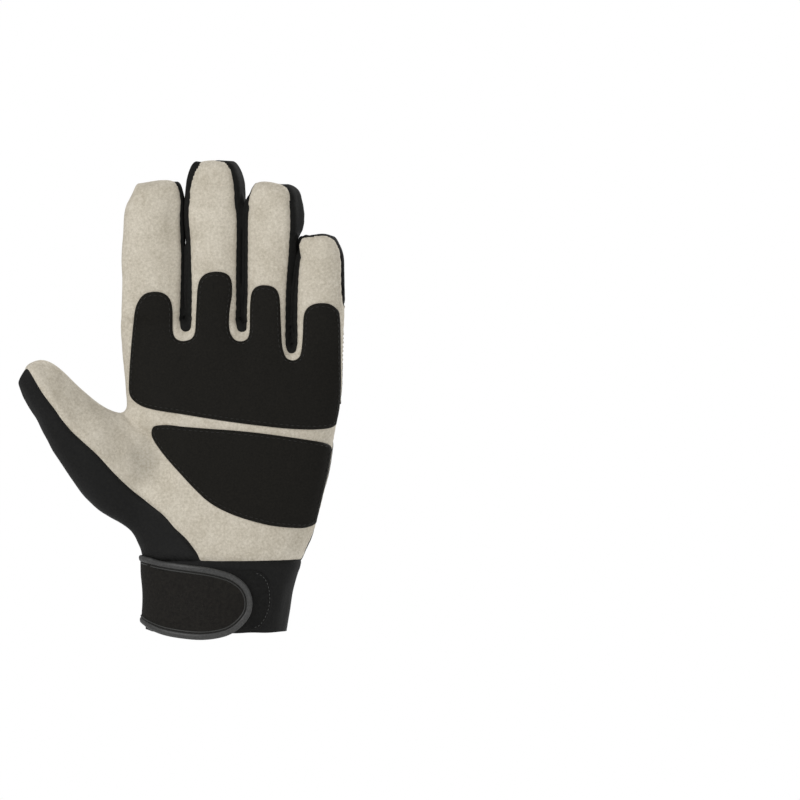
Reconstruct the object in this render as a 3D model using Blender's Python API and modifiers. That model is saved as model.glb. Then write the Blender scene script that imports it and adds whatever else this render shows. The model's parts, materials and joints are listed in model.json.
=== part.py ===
"""Left-hand mechanic glove, palm towards -Y, fingers up, thumb towards -X, standing as worn."""
import math
import bpy
import numpy as np
from mathutils import Vector
from mathutils.bvhtree import BVHTree

# Driving sizes, metres
glove_length = 0.243
palm_width = 0.107
palm_depth = 0.036
finger_depth = 0.022
finger_curl = 0.010
wall = 0.0015
seam_gap = 0.0003
pad_thickness = 0.0012
pad_lift = 0.0005
patch_thickness = 0.0009
strap_thickness = 0.0016
piping_width = 0.0026

# Shares: how far a fingertip's middle stands over its corners, the depth left beside a finger root, how far
# each finger is rolled to show its right side, and the height of the cuff's edge, which stands at z = 0
tip_crown = 0.004
root_dent = 0.86
finger_roll = 0.12
rim = 0.008

# Names of the panels, in the order of their face numbers
PANELS = [
    "palm_panel", "thumb_gusset", "fourchette_index_middle", "fourchette_middle_ring",
    "fourchette_ring_little", "index_back_insert", "middle_back_insert", "ring_back_insert",
    "little_back", "knuckle_strip_middle", "knuckle_strip_ring", "knuckle_strip_little",
    "back_yoke", "back_band", "back_sleeve", "cuff",
]
(PALM, GUSSET, SIDE_IM, SIDE_MR, SIDE_RL, INDEX_IN, MIDDLE_IN, RING_IN, LITTLE_BACK,
 STRIP_M, STRIP_R, STRIP_L, YOKE, BAND, SLEEVE, CUFF) = range(len(PANELS))

# Section of the body by height: height as a share of glove_length, left and right edge as shares
# of palm_width, front and back depth as shares of palm_depth, roundness
BODY = [
    (0.000, -0.353, 0.329, 0.700, 0.700, 2.00),
    (0.078, -0.355, 0.362, 0.700, 0.700, 2.05),
    (0.153, -0.355, 0.400, 0.670, 0.670, 2.10),
    (0.195, -0.372, 0.441, 0.600, 0.610, 2.20),
    (0.235, -0.415, 0.474, 0.560, 0.560, 2.30),
    (0.288, -0.419, 0.505, 0.545, 0.530, 2.40),
    (0.348, -0.424, 0.539, 0.545, 0.500, 2.50),
    (0.411, -0.429, 0.558, 0.530, 0.485, 2.50),
    (0.464, -0.431, 0.582, 0.490, 0.470, 2.50),
    (0.525, -0.434, 0.598, 0.430, 0.455, 2.50),
    (0.588, -0.455, 0.603, 0.385, 0.415, 2.50),
    (0.642, -0.460, 0.603, 0.335, 0.350, 2.50),
]

# Rows of the body cage, heights at the left, middle and right of the front, then of the back
ROWS = [
    (0.008, 0.008, 0.008, 0.008, 0.008, 0.008),
    (0.153, 0.157, 0.157, 0.151, 0.147, 0.149),
    (0.197, 0.199, 0.201, 0.195, 0.199, 0.201),
    (0.222, 0.235, 0.239, 0.227, 0.237, 0.239),
    (0.288, 0.288, 0.290, 0.288, 0.294, 0.296),
    (0.348, 0.348, 0.348, 0.348, 0.353, 0.357),
    (0.411, 0.411, 0.411, 0.392, 0.407, 0.418),
    (0.466, 0.464, 0.464, 0.474, 0.470, 0.453),
    (0.525, 0.525, 0.518, 0.537, 0.531, 0.493),
    (0.642, 0.642, 0.602, 0.634, 0.634, 0.571),
]
WRIST, THUMB_LOW, CREASE, CROTCH, SEAM, ROOT = 1, 3, 6, 7, 8, 9

# Columns of the cage across the hand, as shares of its width, at the wrist and at the finger roots,
# then the height of the finger root on the front and on the back
COLUMNS = [
    (0.032, 0.025, 0.642, 0.636),
    (0.127, 0.146, 0.644, 0.640),
    (0.241, 0.269, 0.644, 0.630),
    (0.354, 0.318, 0.644, 0.630),
    (0.424, 0.419, 0.648, 0.640),
    (0.500, 0.522, 0.644, 0.630),
    (0.576, 0.567, 0.644, 0.630),
    (0.652, 0.657, 0.630, 0.610),
    (0.728, 0.744, 0.598, 0.585),
    (0.804, 0.791, 0.598, 0.585),
    (0.880, 0.886, 0.600, 0.575),
    (0.956, 0.975, 0.602, 0.571),
]

# Front cage points moved on to the seam between suede and knit, and beside the thumb: row, column,
# across, height
PALM_SEAM = [
    (6, 0, -0.396, 0.411),
    (5, 0, -0.382, 0.348),
    (4, 0, -0.367, 0.288),
    (3, 1, -0.248, 0.243),
    (2, 2, -0.162, 0.203),
    (1, 3, -0.086, 0.157),
]

# Fingers: height, left edge, left seam, right seam, right edge, half depth as a share of
# finger_depth, forward bend as a share of finger_curl
FINGERS = {
    "index": [
        (0.667, -0.453, -0.430, -0.172, -0.147, 0.53, 0.02),
        (0.724, -0.453, -0.430, -0.167, -0.147, 0.52, 0.10),
        (0.856, -0.439, -0.415, -0.157, -0.150, 0.48, 0.50),
        (0.915, -0.425, -0.398, -0.157, -0.150, 0.43, 0.80),
        (0.946, -0.388, -0.364, -0.190, -0.170, 0.24, 0.95),
    ],
    "middle": [
        (0.672, -0.147, -0.119, 0.095, 0.121, 0.53, 0.02),
        (0.730, -0.147, -0.118, 0.098, 0.128, 0.52, 0.10),
        (0.856, -0.142, -0.124, 0.100, 0.135, 0.50, 0.45),
        (0.949, -0.141, -0.126, 0.093, 0.130, 0.43, 0.85),
        (0.988, -0.110, -0.090, 0.062, 0.094, 0.24, 1.00),
    ],
    "ring": [
        (0.659, 0.121, 0.143, 0.331, 0.356, 0.52, 0.02),
        (0.716, 0.127, 0.145, 0.334, 0.358, 0.51, 0.10),
        (0.829, 0.135, 0.149, 0.350, 0.400, 0.49, 0.45),
        (0.902, 0.141, 0.154, 0.348, 0.410, 0.43, 0.85),
        (0.942, 0.172, 0.188, 0.315, 0.350, 0.24, 1.00),
    ],
    "little": [
        (0.640, 0.357, 0.384, 0.579, 0.603, 0.47, 0.04),
        (0.699, 0.358, 0.384, 0.586, 0.606, 0.46, 0.15),
        (0.760, 0.377, 0.388, 0.589, 0.604, 0.44, 0.40),
        (0.804, 0.396, 0.403, 0.582, 0.600, 0.38, 0.75),
        (0.833, 0.424, 0.440, 0.553, 0.572, 0.21, 0.90),
    ],
}

# Saddles between the fingers: across on its left and right side, height
SADDLES = [
    (-0.151, -0.143, 0.672),
    (0.115, 0.123, 0.667),
    (0.352, 0.360, 0.622),
]

# Thumb: crest across and height, lower edge across and height, half depth and forward place as shares
# of palm_depth, share of the front that is suede, angles of the gusset's two seams in degrees
THUMB = [
    (-0.510, 0.474, -0.558, 0.264, 0.47, 0.08, 0.53, 75, 125),
    (-0.610, 0.504, -0.677, 0.320, 0.41, 0.20, 0.517, 92, 135),
    (-0.686, 0.538, -0.760, 0.378, 0.385, 0.31, 0.55, 108, 145),
    (-0.767, 0.571, -0.848, 0.443, 0.34, 0.41, 0.58, 122, 155),
    (-0.839, 0.579, -0.910, 0.497, 0.27, 0.49, 0.48, 130, 160),
    (-0.891, 0.566, -0.935, 0.528, 0.16, 0.53, 0.40, 135, 163),
]

# Upper pad: across, top edge, bottom edge
UPPER_PAD = [
    (-0.421, 0.548, 0.514), (-0.415, 0.611, 0.508), (-0.403, 0.659, 0.499), (-0.388, 0.684, 0.493),
    (-0.367, 0.705, 0.485), (-0.334, 0.718, 0.478), (-0.296, 0.722, 0.474), (-0.257, 0.718, 0.470),
    (-0.229, 0.709, 0.468), (-0.211, 0.693, 0.466), (-0.202, 0.663, 0.465), (-0.188, 0.636, 0.465),
    (-0.157, 0.620, 0.464), (-0.126, 0.630, 0.463), (-0.102, 0.659, 0.461), (-0.093, 0.701, 0.461),
    (-0.081, 0.735, 0.460), (-0.057, 0.754, 0.459), (-0.010, 0.763, 0.455), (0.043, 0.756, 0.451),
    (0.067, 0.739, 0.450), (0.076, 0.705, 0.449), (0.079, 0.659, 0.449), (0.082, 0.630, 0.449),
    (0.105, 0.618, 0.448), (0.133, 0.625, 0.446), (0.153, 0.651, 0.445), (0.160, 0.705, 0.445),
    (0.172, 0.722, 0.444), (0.200, 0.732, 0.442), (0.234, 0.735, 0.440), (0.267, 0.730, 0.438),
    (0.291, 0.716, 0.437), (0.303, 0.663, 0.437), (0.312, 0.600, 0.436), (0.329, 0.583, 0.435),
    (0.353, 0.578, 0.434), (0.381, 0.588, 0.433), (0.400, 0.611, 0.433), (0.408, 0.653, 0.432),
    (0.417, 0.678, 0.432), (0.443, 0.694, 0.432), (0.496, 0.699, 0.433), (0.533, 0.693, 0.438),
    (0.552, 0.680, 0.448), (0.562, 0.653, 0.464), (0.566, 0.600, 0.491),
]

# Lower pad: across, top edge, bottom edge
LOWER_PAD = [
    (-0.315, 0.440, 0.417), (-0.305, 0.443, 0.407), (-0.286, 0.445, 0.397), (-0.257, 0.446, 0.383),
    (-0.200, 0.442, 0.355), (-0.129, 0.439, 0.327), (-0.057, 0.435, 0.293), (0.038, 0.433, 0.264),
    (0.133, 0.430, 0.246), (0.205, 0.427, 0.237), (0.300, 0.421, 0.228), (0.372, 0.416, 0.224),
    (0.419, 0.412, 0.224), (0.453, 0.410, 0.228), (0.468, 0.407, 0.242), (0.484, 0.405, 0.283),
    (0.502, 0.403, 0.332), (0.517, 0.399, 0.357), (0.525, 0.392, 0.374),
]

# Strap: across, top edge, bottom edge, share of its rise over the loop patch
STRAP = [
    (-0.338, 0.160, 0.040, 0.0), (-0.305, 0.149, 0.029, 0.0), (-0.248, 0.140, 0.020, 0.1),
    (-0.176, 0.134, 0.013, 0.4), (-0.105, 0.130, 0.009, 0.8), (-0.038, 0.126, 0.008, 1.0),
    (0.014, 0.122, 0.010, 1.0), (0.050, 0.118, 0.016, 1.0), (0.080, 0.112, 0.024, 1.0),
    (0.104, 0.103, 0.034, 1.0), (0.124, 0.092, 0.047, 1.0), (0.135, 0.080, 0.059, 1.0),
    (0.138, 0.073, 0.067, 1.0),
]

# Loop patch: across, top edge, bottom edge
LOOP_PATCH = [
    (-0.080, 0.140, 0.012), (-0.020, 0.140, 0.012), (0.040, 0.140, 0.012), (0.100, 0.140, 0.012),
    (0.160, 0.140, 0.012), (0.210, 0.138, 0.014), (0.238, 0.130, 0.022), (0.252, 0.115, 0.038),
    (0.259, 0.095, 0.060),
]


def z_of(height):
    """Height in metres of a height share."""
    return (height - rim) * glove_length


def body(height):
    """Left and right edge, front and back depth and roundness of the body at a height share."""
    table = np.array(BODY)
    return [np.interp(height, table[:, 0], table[:, k]) for k in range(1, 6)]


def on_body(across, height, side):
    """The point of the body's surface at these shares, side -1 for the front and 1 for the back."""
    left, right, front, back, roundness = body(height)
    share = abs(2 * (across - left) / (right - left) - 1)
    depth = front if side < 0 else back
    bulge = max(0.0, 1 - min(share, 1.0) ** roundness) ** (1 / roundness)
    return (across * palm_width, side * depth * palm_depth * bulge, z_of(height))


def across_of(row, height, column):
    """Where a column of the cage stands at this row, as a share of palm_width."""
    wrist, root = COLUMNS[column][:2]
    blend = min(max((row - WRIST) / (ROOT - WRIST), 0), 1)
    left, right = body(height)[:2]
    return left + (right - left) * (wrist + (root - wrist) * blend)


def height_of(row, column, side):
    """The height share of a cage point, curved through the row's three heights."""
    if row == ROOT:
        return COLUMNS[column][2 if side < 0 else 3]
    heights = ROWS[row][:3] if side < 0 else ROWS[row][3:]
    return float(np.interp(COLUMNS[column][1], (0, 0.5, 1), heights))


points, faces, panels = [], [], []


def add_point(point):
    points.append(point)
    return len(points) - 1


def add_face(corners, panel):
    faces.append(list(corners))
    panels.append(panel)


# Body rings: left side, twelve front columns, right side, twelve back columns
ring_of = []
moved = {(row, column): (x, v) for row, column, x, v in PALM_SEAM}
for row in range(len(ROWS)):
    ring = []
    for column in range(12):
        height = height_of(row, column, -1)
        across = across_of(row, height, column)
        across, height = moved.get((row, column), (across, height))
        x, y, z = on_body(across, height, -1)
        ring.append(add_point((x, y * (root_dent if row == ROOT and column % 3 != 1 else 1), z)))
    right_height = (ROWS[row][2] + ROWS[row][5]) / 2
    right = add_point((body(right_height)[1] * palm_width, 0, z_of(right_height)))
    back = []
    for column in range(12):
        height = height_of(row, column, 1)
        back.append(add_point(on_body(across_of(row, height, column), height, 1)))
    left_height = (ROWS[row][0] + ROWS[row][3]) / 2
    in_hole = THUMB_LOW < row < CROTCH
    left = None if in_hole else add_point((body(left_height)[0] * palm_width, 0, z_of(left_height)))
    ring_of.append([left] + ring + [right] + back[::-1])

# Body faces. Ring places: 0 left, 1-12 front, 13 right, 14-25 back from right to left
split = {(1, 3): (SLEEVE, PALM), (2, 2): (SLEEVE, PALM), (3, 1): (SLEEVE, PALM)}
for row in range(ROOT):
    low, high = ring_of[row], ring_of[row + 1]
    for place in range(26):
        corners = (low[place], low[(place + 1) % 26], high[(place + 1) % 26], high[place])
        is_hole = THUMB_LOW <= row < CROTCH and place in (0, 25)
        if is_hole:
            continue
        if row < WRIST:
            add_face(corners, CUFF)
        elif (row, place) in split:
            add_face((corners[0], corners[1], corners[3]), SLEEVE)
            add_face((corners[1], corners[2], corners[3]), PALM)
        elif place <= 12:
            is_knit = place + row < 5 and row < 4
            add_face(corners, SLEEVE if is_knit else PALM)
        elif place == 25 and row >= CROTCH or place == 24 and THUMB_LOW + 2 <= row < CROTCH:
            add_face(corners, PALM)
        elif place == 24 and row == CROTCH:
            add_face((corners[0], corners[1], corners[2]), PALM)
            add_face((corners[0], corners[2], corners[3]), BAND)
        elif row < CREASE:
            add_face(corners, SLEEVE)
        else:
            add_face(corners, BAND if row < SEAM else YOKE)

# Saddles between the fingers
root = ring_of[ROOT]
saddle_of = []
for left_x, right_x, height in SADDLES:
    saddle_of.append([add_point((x * palm_width, 0, z_of(height))) for x in (left_x, right_x)])
for number, (left, right) in enumerate(saddle_of):
    column = 3 * number + 3
    back = 26 - column
    add_face((root[column], root[column + 1], right, left), SIDE_IM + number)
    add_face((left, right, root[back - 1], root[back]), SIDE_IM + number)


def finger_ring(row, crown):
    """Eight points round a finger: left side, three front, right side, three back, the middle ones raised."""
    height, left, left_seam, right_seam, right, depth, bend = row
    middle = (left + right) / 2
    half = (right - left) / 2
    front = (left_seam, (left_seam + right_seam) / 2, right_seam)
    centre = -bend * finger_curl
    ring = [(left, 0)]
    ring += [(x, -1) for x in front]
    ring += [(right, 0)]
    ring += [(left + right - x, 1) for x in front]
    made = []
    for x, side in ring:
        share = min(abs(x - middle) / half, 1.0)
        y = centre + side * depth * finger_depth * (1 - share**2.4) ** (1 / 2.4)
        if side == 0:
            y += math.copysign(finger_roll * depth * 2 * finger_depth, x - middle)
        rise = crown if x == front[1] or x == left + right - front[1] else 0
        made.append(add_point((x * palm_width, y, z_of(height + rise))))
    return made


# Finger faces. Ring places: 0 left, 1-3 front, 4 right, 5-7 back from right to left
BACKS = {
    "index": [YOKE, PALM, INDEX_IN, PALM, PALM],
    "middle": [YOKE, STRIP_M, MIDDLE_IN, PALM, PALM],
    "ring": [YOKE, STRIP_R, RING_IN, PALM, PALM],
    "little": [YOKE, STRIP_L, LITTLE_BACK, LITTLE_BACK, LITTLE_BACK],
}
for number, name in enumerate(FINGERS):
    first = 3 * number + 1
    left_side = root[0] if number == 0 else saddle_of[number - 1][1]
    right_side = root[13] if number == 3 else saddle_of[number][0]
    low = [left_side, root[first], root[first + 1], root[first + 2], right_side]
    low += [root[26 - first - 2], root[26 - first - 1], root[26 - first]]
    left_panel = SIDE_IM + number - 1 if number else PALM
    for band, row in enumerate(FINGERS[name]):
        high = finger_ring(row, tip_crown if row is FINGERS[name][-1] else 0)
        back_panel = BACKS[name][band]
        for place in range(8):
            corners = (low[place], low[(place + 1) % 8], high[(place + 1) % 8], high[place])
            if place in (0, 7):
                panel = left_panel
            elif place in (1, 2):
                panel = PALM
            elif place in (5, 6):
                panel = back_panel
            elif number < 3:
                panel = SIDE_IM + number
            elif place == 3:
                panel = PALM if band < 2 else LITTLE_BACK
            else:
                panel = back_panel
            if number == 0 and band == 0 and place == 6:
                add_face((corners[0], corners[1], corners[3]), YOKE)
                add_face((corners[1], corners[2], corners[3]), PALM)
            else:
                add_face(corners, panel)
        low = high
    tip_panel = PALM if number < 3 else LITTLE_BACK
    add_face((low[1], low[2], low[6], low[7]), tip_panel)
    add_face((low[2], low[3], low[5], low[6]), tip_panel)
    add_face((low[0], low[1], low[7]), left_panel)
    add_face((low[3], low[4], low[5]), SIDE_IM + number if number < 3 else LITTLE_BACK)

# Thumb, a tube of twelve columns from the hole in the body's left side
low = [ring_of[CROTCH][0]]
low += [ring_of[row][1] for row in range(CROTCH, THUMB_LOW - 1, -1)]
low += [ring_of[THUMB_LOW][0]]
low += [ring_of[row][25] for row in range(THUMB_LOW, CROTCH + 1)]
THUMB_PANELS = [PALM] * 4 + [SLEEVE] * 4 + [GUSSET] * 2 + [PALM] * 2
for top_x, top_v, low_x, low_v, depth, forward, suede, seam_1, seam_2 in THUMB:
    front = math.degrees(math.acos(1 - 2 * suede))
    angles = [front * k / 4 for k in range(5)]
    angles += [(front + 180) / 2, 180, 360 - (seam_2 + 180) / 2]
    angles += [360 - seam_2, 360 - (seam_1 + seam_2) / 2, 360 - seam_1, 360 - seam_1 / 2]
    high = []
    for angle in angles:
        share = (1 - math.cos(math.radians(angle))) / 2
        x = (top_x + (low_x - top_x) * share) * palm_width
        z = z_of(top_v + (low_v - top_v) * share)
        y = -palm_depth * (forward + depth * math.sin(math.radians(angle)))
        high.append(add_point((x, y, z)))
    for place in range(12):
        following = (place + 1) % 12
        add_face((low[place], high[place], high[following], low[following]), THUMB_PANELS[place])
    low = high
for place in (1, 2, 3, 4):
    corners = (low[place + 1], low[place], low[12 - place], low[11 - place])
    add_face(corners, PALM if place < 4 else SLEEVE)
add_face((low[1], low[0], low[11]), PALM)
add_face((low[7], low[6], low[5]), SLEEVE)

# The tables give points of the finished surface, so the cage is moved out until its subdivision meets them
for thing in list(bpy.data.objects):
    bpy.data.objects.remove(thing)
glove = bpy.data.collections.new("mechanic_glove")
bpy.context.scene.collection.children.link(glove)


def subdivided(cage_points):
    """Points, faces and panel numbers of the cage after one level of subdivision."""
    mesh = bpy.data.meshes.new("cage")
    mesh.from_pydata([tuple(p) for p in cage_points], [], faces)
    mesh.polygons.foreach_set("material_index", panels)
    cage = bpy.data.objects.new("cage", mesh)
    bpy.context.scene.collection.objects.link(cage)
    smooth = cage.modifiers.new("smooth", "SUBSURF")
    smooth.levels = 1
    smooth.render_levels = 1
    graph = bpy.context.evaluated_depsgraph_get()
    made = cage.evaluated_get(graph).to_mesh()
    fine_points = np.array([v.co[:] for v in made.vertices])
    fine_faces = [tuple(p.vertices) for p in made.polygons]
    fine_panels = [p.material_index for p in made.polygons]
    bpy.data.objects.remove(cage)
    return fine_points, fine_faces, fine_panels


target = np.array(points)
cage_points = target.copy()
for step in range(6):
    fine_points, fine_faces, fine_panels = subdivided(cage_points)
    cage_points += 0.9 * (target - fine_points[: len(target)])
fine_points, fine_faces, fine_panels = subdivided(cage_points)


def vertex_normals(verts, polygons):
    normals = np.zeros_like(verts)
    for polygon in polygons:
        corners = verts[list(polygon)]
        following = np.roll(corners, -1, axis=0)
        normals[list(polygon)] += np.cross(corners, following).sum(axis=0)
    return normals / np.linalg.norm(normals, axis=1)[:, None]


fine_normals = vertex_normals(fine_points, fine_faces)
surface = BVHTree.FromPolygons([Vector(p) for p in fine_points], fine_faces)


def material(name, colour, roughness):
    made = bpy.data.materials.new(name)
    made.use_nodes = True
    shader = made.node_tree.nodes["Principled BSDF"]
    shader.inputs["Base Color"].default_value = (*colour, 1)
    shader.inputs["Roughness"].default_value = roughness
    return made


suede = material("suede", (0.55, 0.50, 0.42), 0.9)
stretch = material("stretch_fabric", (0.012, 0.012, 0.012), 0.9)
band_fabric = material("band_fabric", (0.02, 0.02, 0.02), 0.8)
knit = material("knit_fabric", (0.01, 0.01, 0.01), 0.95)
pad_leather = material("pad_leather", (0.015, 0.014, 0.012), 0.7)
strap_fabric = material("strap_fabric", (0.014, 0.013, 0.011), 0.8)
binding = material("binding", (0.05, 0.05, 0.05), 0.5)
loop_fabric = material("loop_fabric", (0.008, 0.008, 0.008), 1.0)


def add_object(name, verts, polygons, stuff):
    mesh = bpy.data.meshes.new(name)
    mesh.from_pydata([tuple(v) for v in verts], [], [list(p) for p in polygons])
    mesh.materials.append(stuff)
    made = bpy.data.objects.new(name, mesh)
    glove.objects.link(made)
    return made


def closed_shell(name, outer, inner, polygons, stuff):
    """One closed body from an outer and an inner copy of the same faces, joined round their border."""
    count = len(outer)
    all_faces = [tuple(p) for p in polygons]
    all_faces += [tuple(i + count for i in reversed(p)) for p in polygons]
    edges = {(a, b) for p in polygons for a, b in zip(p, p[1:] + p[:1])}
    for a, b in sorted(edges):
        if (b, a) not in edges:
            all_faces.append((b, a, a + count, b + count))
    add_object(name, np.vstack([outer, inner]), all_faces, stuff)


def panel_shell(number, stuff):
    """The faces of one panel as a wall, drawn back from its seams by half of the gap."""
    chosen = [f for f, panel in zip(fine_faces, fine_panels) if panel == number]
    used = sorted({i for f in chosen for i in f})
    index = {old: new for new, old in enumerate(used)}
    polygons = [tuple(index[i] for i in f) for f in chosen]
    outer = fine_points[used].copy()
    normals = fine_normals[used]
    edges = {(a, b): k for k, p in enumerate(polygons) for a, b in zip(p, p[1:] + p[:1])}
    inward = {}
    for (a, b) in edges:
        if (b, a) in edges:
            continue
        across = np.cross(normals[a] + normals[b], outer[b] - outer[a])
        across /= np.linalg.norm(across)
        inward.setdefault(a, []).append(across)
        inward.setdefault(b, []).append(across)
    moved_points = outer.copy()
    for i, sides in inward.items():
        total = np.sum(sides, axis=0)
        reach = max(float(np.dot(total, sides[0])), 0.5)
        moved_points[i] += total * (seam_gap / 2) / reach
    closed_shell(PANELS[number], moved_points, moved_points - normals * wall, polygons, stuff)


STUFF = {
    PALM: suede, GUSSET: suede, STRIP_M: suede, STRIP_R: suede, STRIP_L: suede,
    BAND: band_fabric, SLEEVE: knit, CUFF: knit,
}
for number in range(len(PANELS)):
    panel_shell(number, STUFF.get(number, stretch))


def on_front(across, height):
    """The point of the finished front surface at these shares, and its smooth outward normal."""
    hit = None
    while hit is None:
        start = Vector((across * palm_width, -3 * palm_depth, z_of(height)))
        hit, flat, face, reach = surface.ray_cast(start, Vector((0, 1, 0)))
        across *= 0.995
    corners = list(fine_faces[face])
    nearness = 1 / (np.linalg.norm(fine_points[corners] - np.array(hit), axis=1) + 0.0002)
    normal = (fine_normals[corners] * nearness[:, None]).sum(axis=0)
    return np.array(hit), normal / np.linalg.norm(normal)


def on_cuff(across, height):
    """The same on the wrist tube, also just below its edge."""
    hit, normal = on_front(across, max(height, rim + 0.004))
    hit[2] = z_of(height)
    return hit, normal


def plate(name, table, count, place, lift, thickness, stuff):
    """A thin plate between the top and bottom edge of a table's rows, lifted off the surface by lift."""
    laid = [[place(x, top + (low - top) * k / count) for k in range(count + 1)]
            for x, top, low in [row[:3] for row in table]]
    grid = np.array([[hit for hit, normal in row] for row in laid])
    normals = np.array([[normal for hit, normal in row] for row in laid])
    lift = np.broadcast_to(np.reshape(lift, (-1, 1)), grid.shape[:2]).copy()
    across = count + 1
    polygons = []
    for i in range(len(grid) - 1):
        for k in range(count):
            a = i * across + k
            polygons.append((a, a + 1, a + across + 1))
            polygons.append((a, a + across + 1, a + across))
    sides = [(a, b) for p in polygons for a, b in zip(p, p[1:] + p[:1])]
    for step in range(5):
        low = (grid + normals * lift[:, :, None]).reshape(-1, 3)
        rises = np.zeros(len(low))
        for a, b in sides:
            for share in (0.0, 0.2, 0.4, 0.6, 0.8):
                point = Vector(low[a] + (low[b] - low[a]) * share)
                nearest, normal, face, reach = surface.find_nearest(point)
                short = 1.2 * seam_gap - (point - nearest).dot(normal)
                if short > 0:
                    rises[a] = max(rises[a], short)
                    rises[b] = max(rises[b], short)
        lift += rises.reshape(lift.shape)
    inner = (grid + normals * lift[:, :, None]).reshape(-1, 3)
    outer = (grid + normals * (lift + thickness)[:, :, None]).reshape(-1, 3)
    closed_shell(name, outer, inner, polygons, stuff)
    return grid + normals * (lift + thickness / 2)[:, :, None]


plate("palm_pad_upper", UPPER_PAD, 6, on_front, pad_lift, pad_thickness, pad_leather)
plate("palm_pad_lower", LOWER_PAD, 5, on_front, pad_lift, pad_thickness, pad_leather)
plate("loop_patch", LOOP_PATCH, 3, on_front, 0.0004, patch_thickness, loop_fabric)

# Strap, rising over the loop patch, and its bound edge
rise = np.array([row[3] for row in STRAP])
strap_lift = 0.0011 + rise * (patch_thickness + seam_gap)
strap = plate("cuff_strap", STRAP, 4, on_cuff, strap_lift, strap_thickness, strap_fabric)
edge = [strap[k, 0] for k in range(len(STRAP))] + [strap[k, -1] for k in range(len(STRAP) - 1, -1, -1)]
edge = np.array(edge)
middle = strap.reshape(-1, 3).mean(axis=0)
path = bpy.data.curves.new("strap_piping", "CURVE")
path.dimensions = "3D"
path.bevel_depth = piping_width / 2
path.bevel_resolution = 1
path.resolution_u = 2
path.use_fill_caps = True
spline = path.splines.new("POLY")
tangents = np.gradient(edge, axis=0)
outward = np.cross(tangents, np.tile((0, -1.0, 0), (len(edge), 1)))
outward /= np.linalg.norm(outward, axis=1)[:, None]
outward *= np.sign(np.sum(outward[6] * (edge[6] - middle)))
line = edge + outward * (piping_width / 2 + seam_gap)
over_patch = np.concatenate([rise, rise[::-1]]) * (patch_thickness + 2 * seam_gap)
for k, place in enumerate(line):
    clear = piping_width / 2 + 1.5 * seam_gap + over_patch[k]
    nearest, normal, face, distance = surface.find_nearest(Vector(place))
    if distance < clear:
        line[k] += np.array(normal) * (clear - distance)
spline.points.add(len(line) - 1)
for point, place in zip(spline.points, line):
    point.co = (*place, 1)
piping = bpy.data.objects.new("strap_piping", path)
path.materials.append(binding)
glove.objects.link(piping)
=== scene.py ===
import json
import math
import random
import bmesh
import bpy
import numpy as np
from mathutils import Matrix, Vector
from mathutils.bvhtree import BVHTree
from mathutils.geometry import delaunay_2d_cdt
from mathutils.kdtree import KDTree

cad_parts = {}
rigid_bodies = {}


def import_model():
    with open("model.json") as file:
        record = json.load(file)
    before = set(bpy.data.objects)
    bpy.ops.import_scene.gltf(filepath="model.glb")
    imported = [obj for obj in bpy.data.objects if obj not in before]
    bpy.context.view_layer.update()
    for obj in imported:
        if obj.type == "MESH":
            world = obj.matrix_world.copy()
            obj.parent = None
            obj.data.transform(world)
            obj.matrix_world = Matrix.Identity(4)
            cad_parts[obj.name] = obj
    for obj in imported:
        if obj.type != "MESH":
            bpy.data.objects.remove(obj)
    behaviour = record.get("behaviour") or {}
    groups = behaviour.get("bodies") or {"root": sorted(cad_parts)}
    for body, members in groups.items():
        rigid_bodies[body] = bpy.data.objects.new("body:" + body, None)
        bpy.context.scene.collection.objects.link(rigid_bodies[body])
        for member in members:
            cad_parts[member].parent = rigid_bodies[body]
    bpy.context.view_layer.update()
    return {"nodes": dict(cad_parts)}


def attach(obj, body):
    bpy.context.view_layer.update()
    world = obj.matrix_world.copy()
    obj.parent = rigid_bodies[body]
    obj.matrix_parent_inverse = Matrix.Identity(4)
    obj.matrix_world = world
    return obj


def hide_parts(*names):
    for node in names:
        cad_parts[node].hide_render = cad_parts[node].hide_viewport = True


for thing in list(bpy.data.objects):
    bpy.data.objects.remove(thing)
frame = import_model()
random.seed(7)
mm = 0.001
print("frame loaded:", len(frame["nodes"]), "nodes")


def hexColour(text):
    # sRGB hex to the linear colour that a shader wants
    parts = [int(text[k:k + 2], 16) / 255 for k in (1, 3, 5)]
    return tuple(c / 12.92 if c <= 0.04045 else ((c + 0.055) / 1.055) ** 2.4 for c in parts) + (1.0,)


def addNode(tree, kind, sockets=None, **settings):
    made = tree.nodes.new(kind)
    for key, value in settings.items():
        setattr(made, key, value)
    for key, value in (sockets or {}).items():
        if isinstance(value, bpy.types.NodeSocket):
            tree.links.new(value, made.inputs[key])
        else:
            made.inputs[key].default_value = value
    return made


def newMaterial(name):
    made = bpy.data.materials.new(name)
    made.use_nodes = True
    return made, made.node_tree, made.node_tree.nodes["Principled BSDF"]


def deselectAll():
    bpy.ops.object.select_all(action="DESELECT")


def makeActive(piece):
    deselectAll()
    piece.select_set(True)
    bpy.context.view_layer.objects.active = piece


def applyModifiers(piece):
    makeActive(piece)
    for modifier in list(piece.modifiers):
        bpy.ops.object.modifier_apply(modifier=modifier.name)


def meshObject(name, verts, faces):
    mesh = bpy.data.meshes.new(name)
    mesh.from_pydata([tuple(v) for v in verts], [], [tuple(f) for f in faces])
    made = bpy.data.objects.new(name, mesh)
    bpy.context.scene.collection.objects.link(made)
    return made


def pointsOf(piece, what="co"):
    found = np.empty(len(piece.data.vertices) * 3)
    piece.data.vertices.foreach_get(what, found)
    return found.reshape(-1, 3)


def normalsOf(piece):
    return pointsOf(piece, "normal")


def setPoints(piece, verts):
    piece.data.vertices.foreach_set("co", np.asarray(verts, float).ravel())
    piece.data.update()


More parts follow.
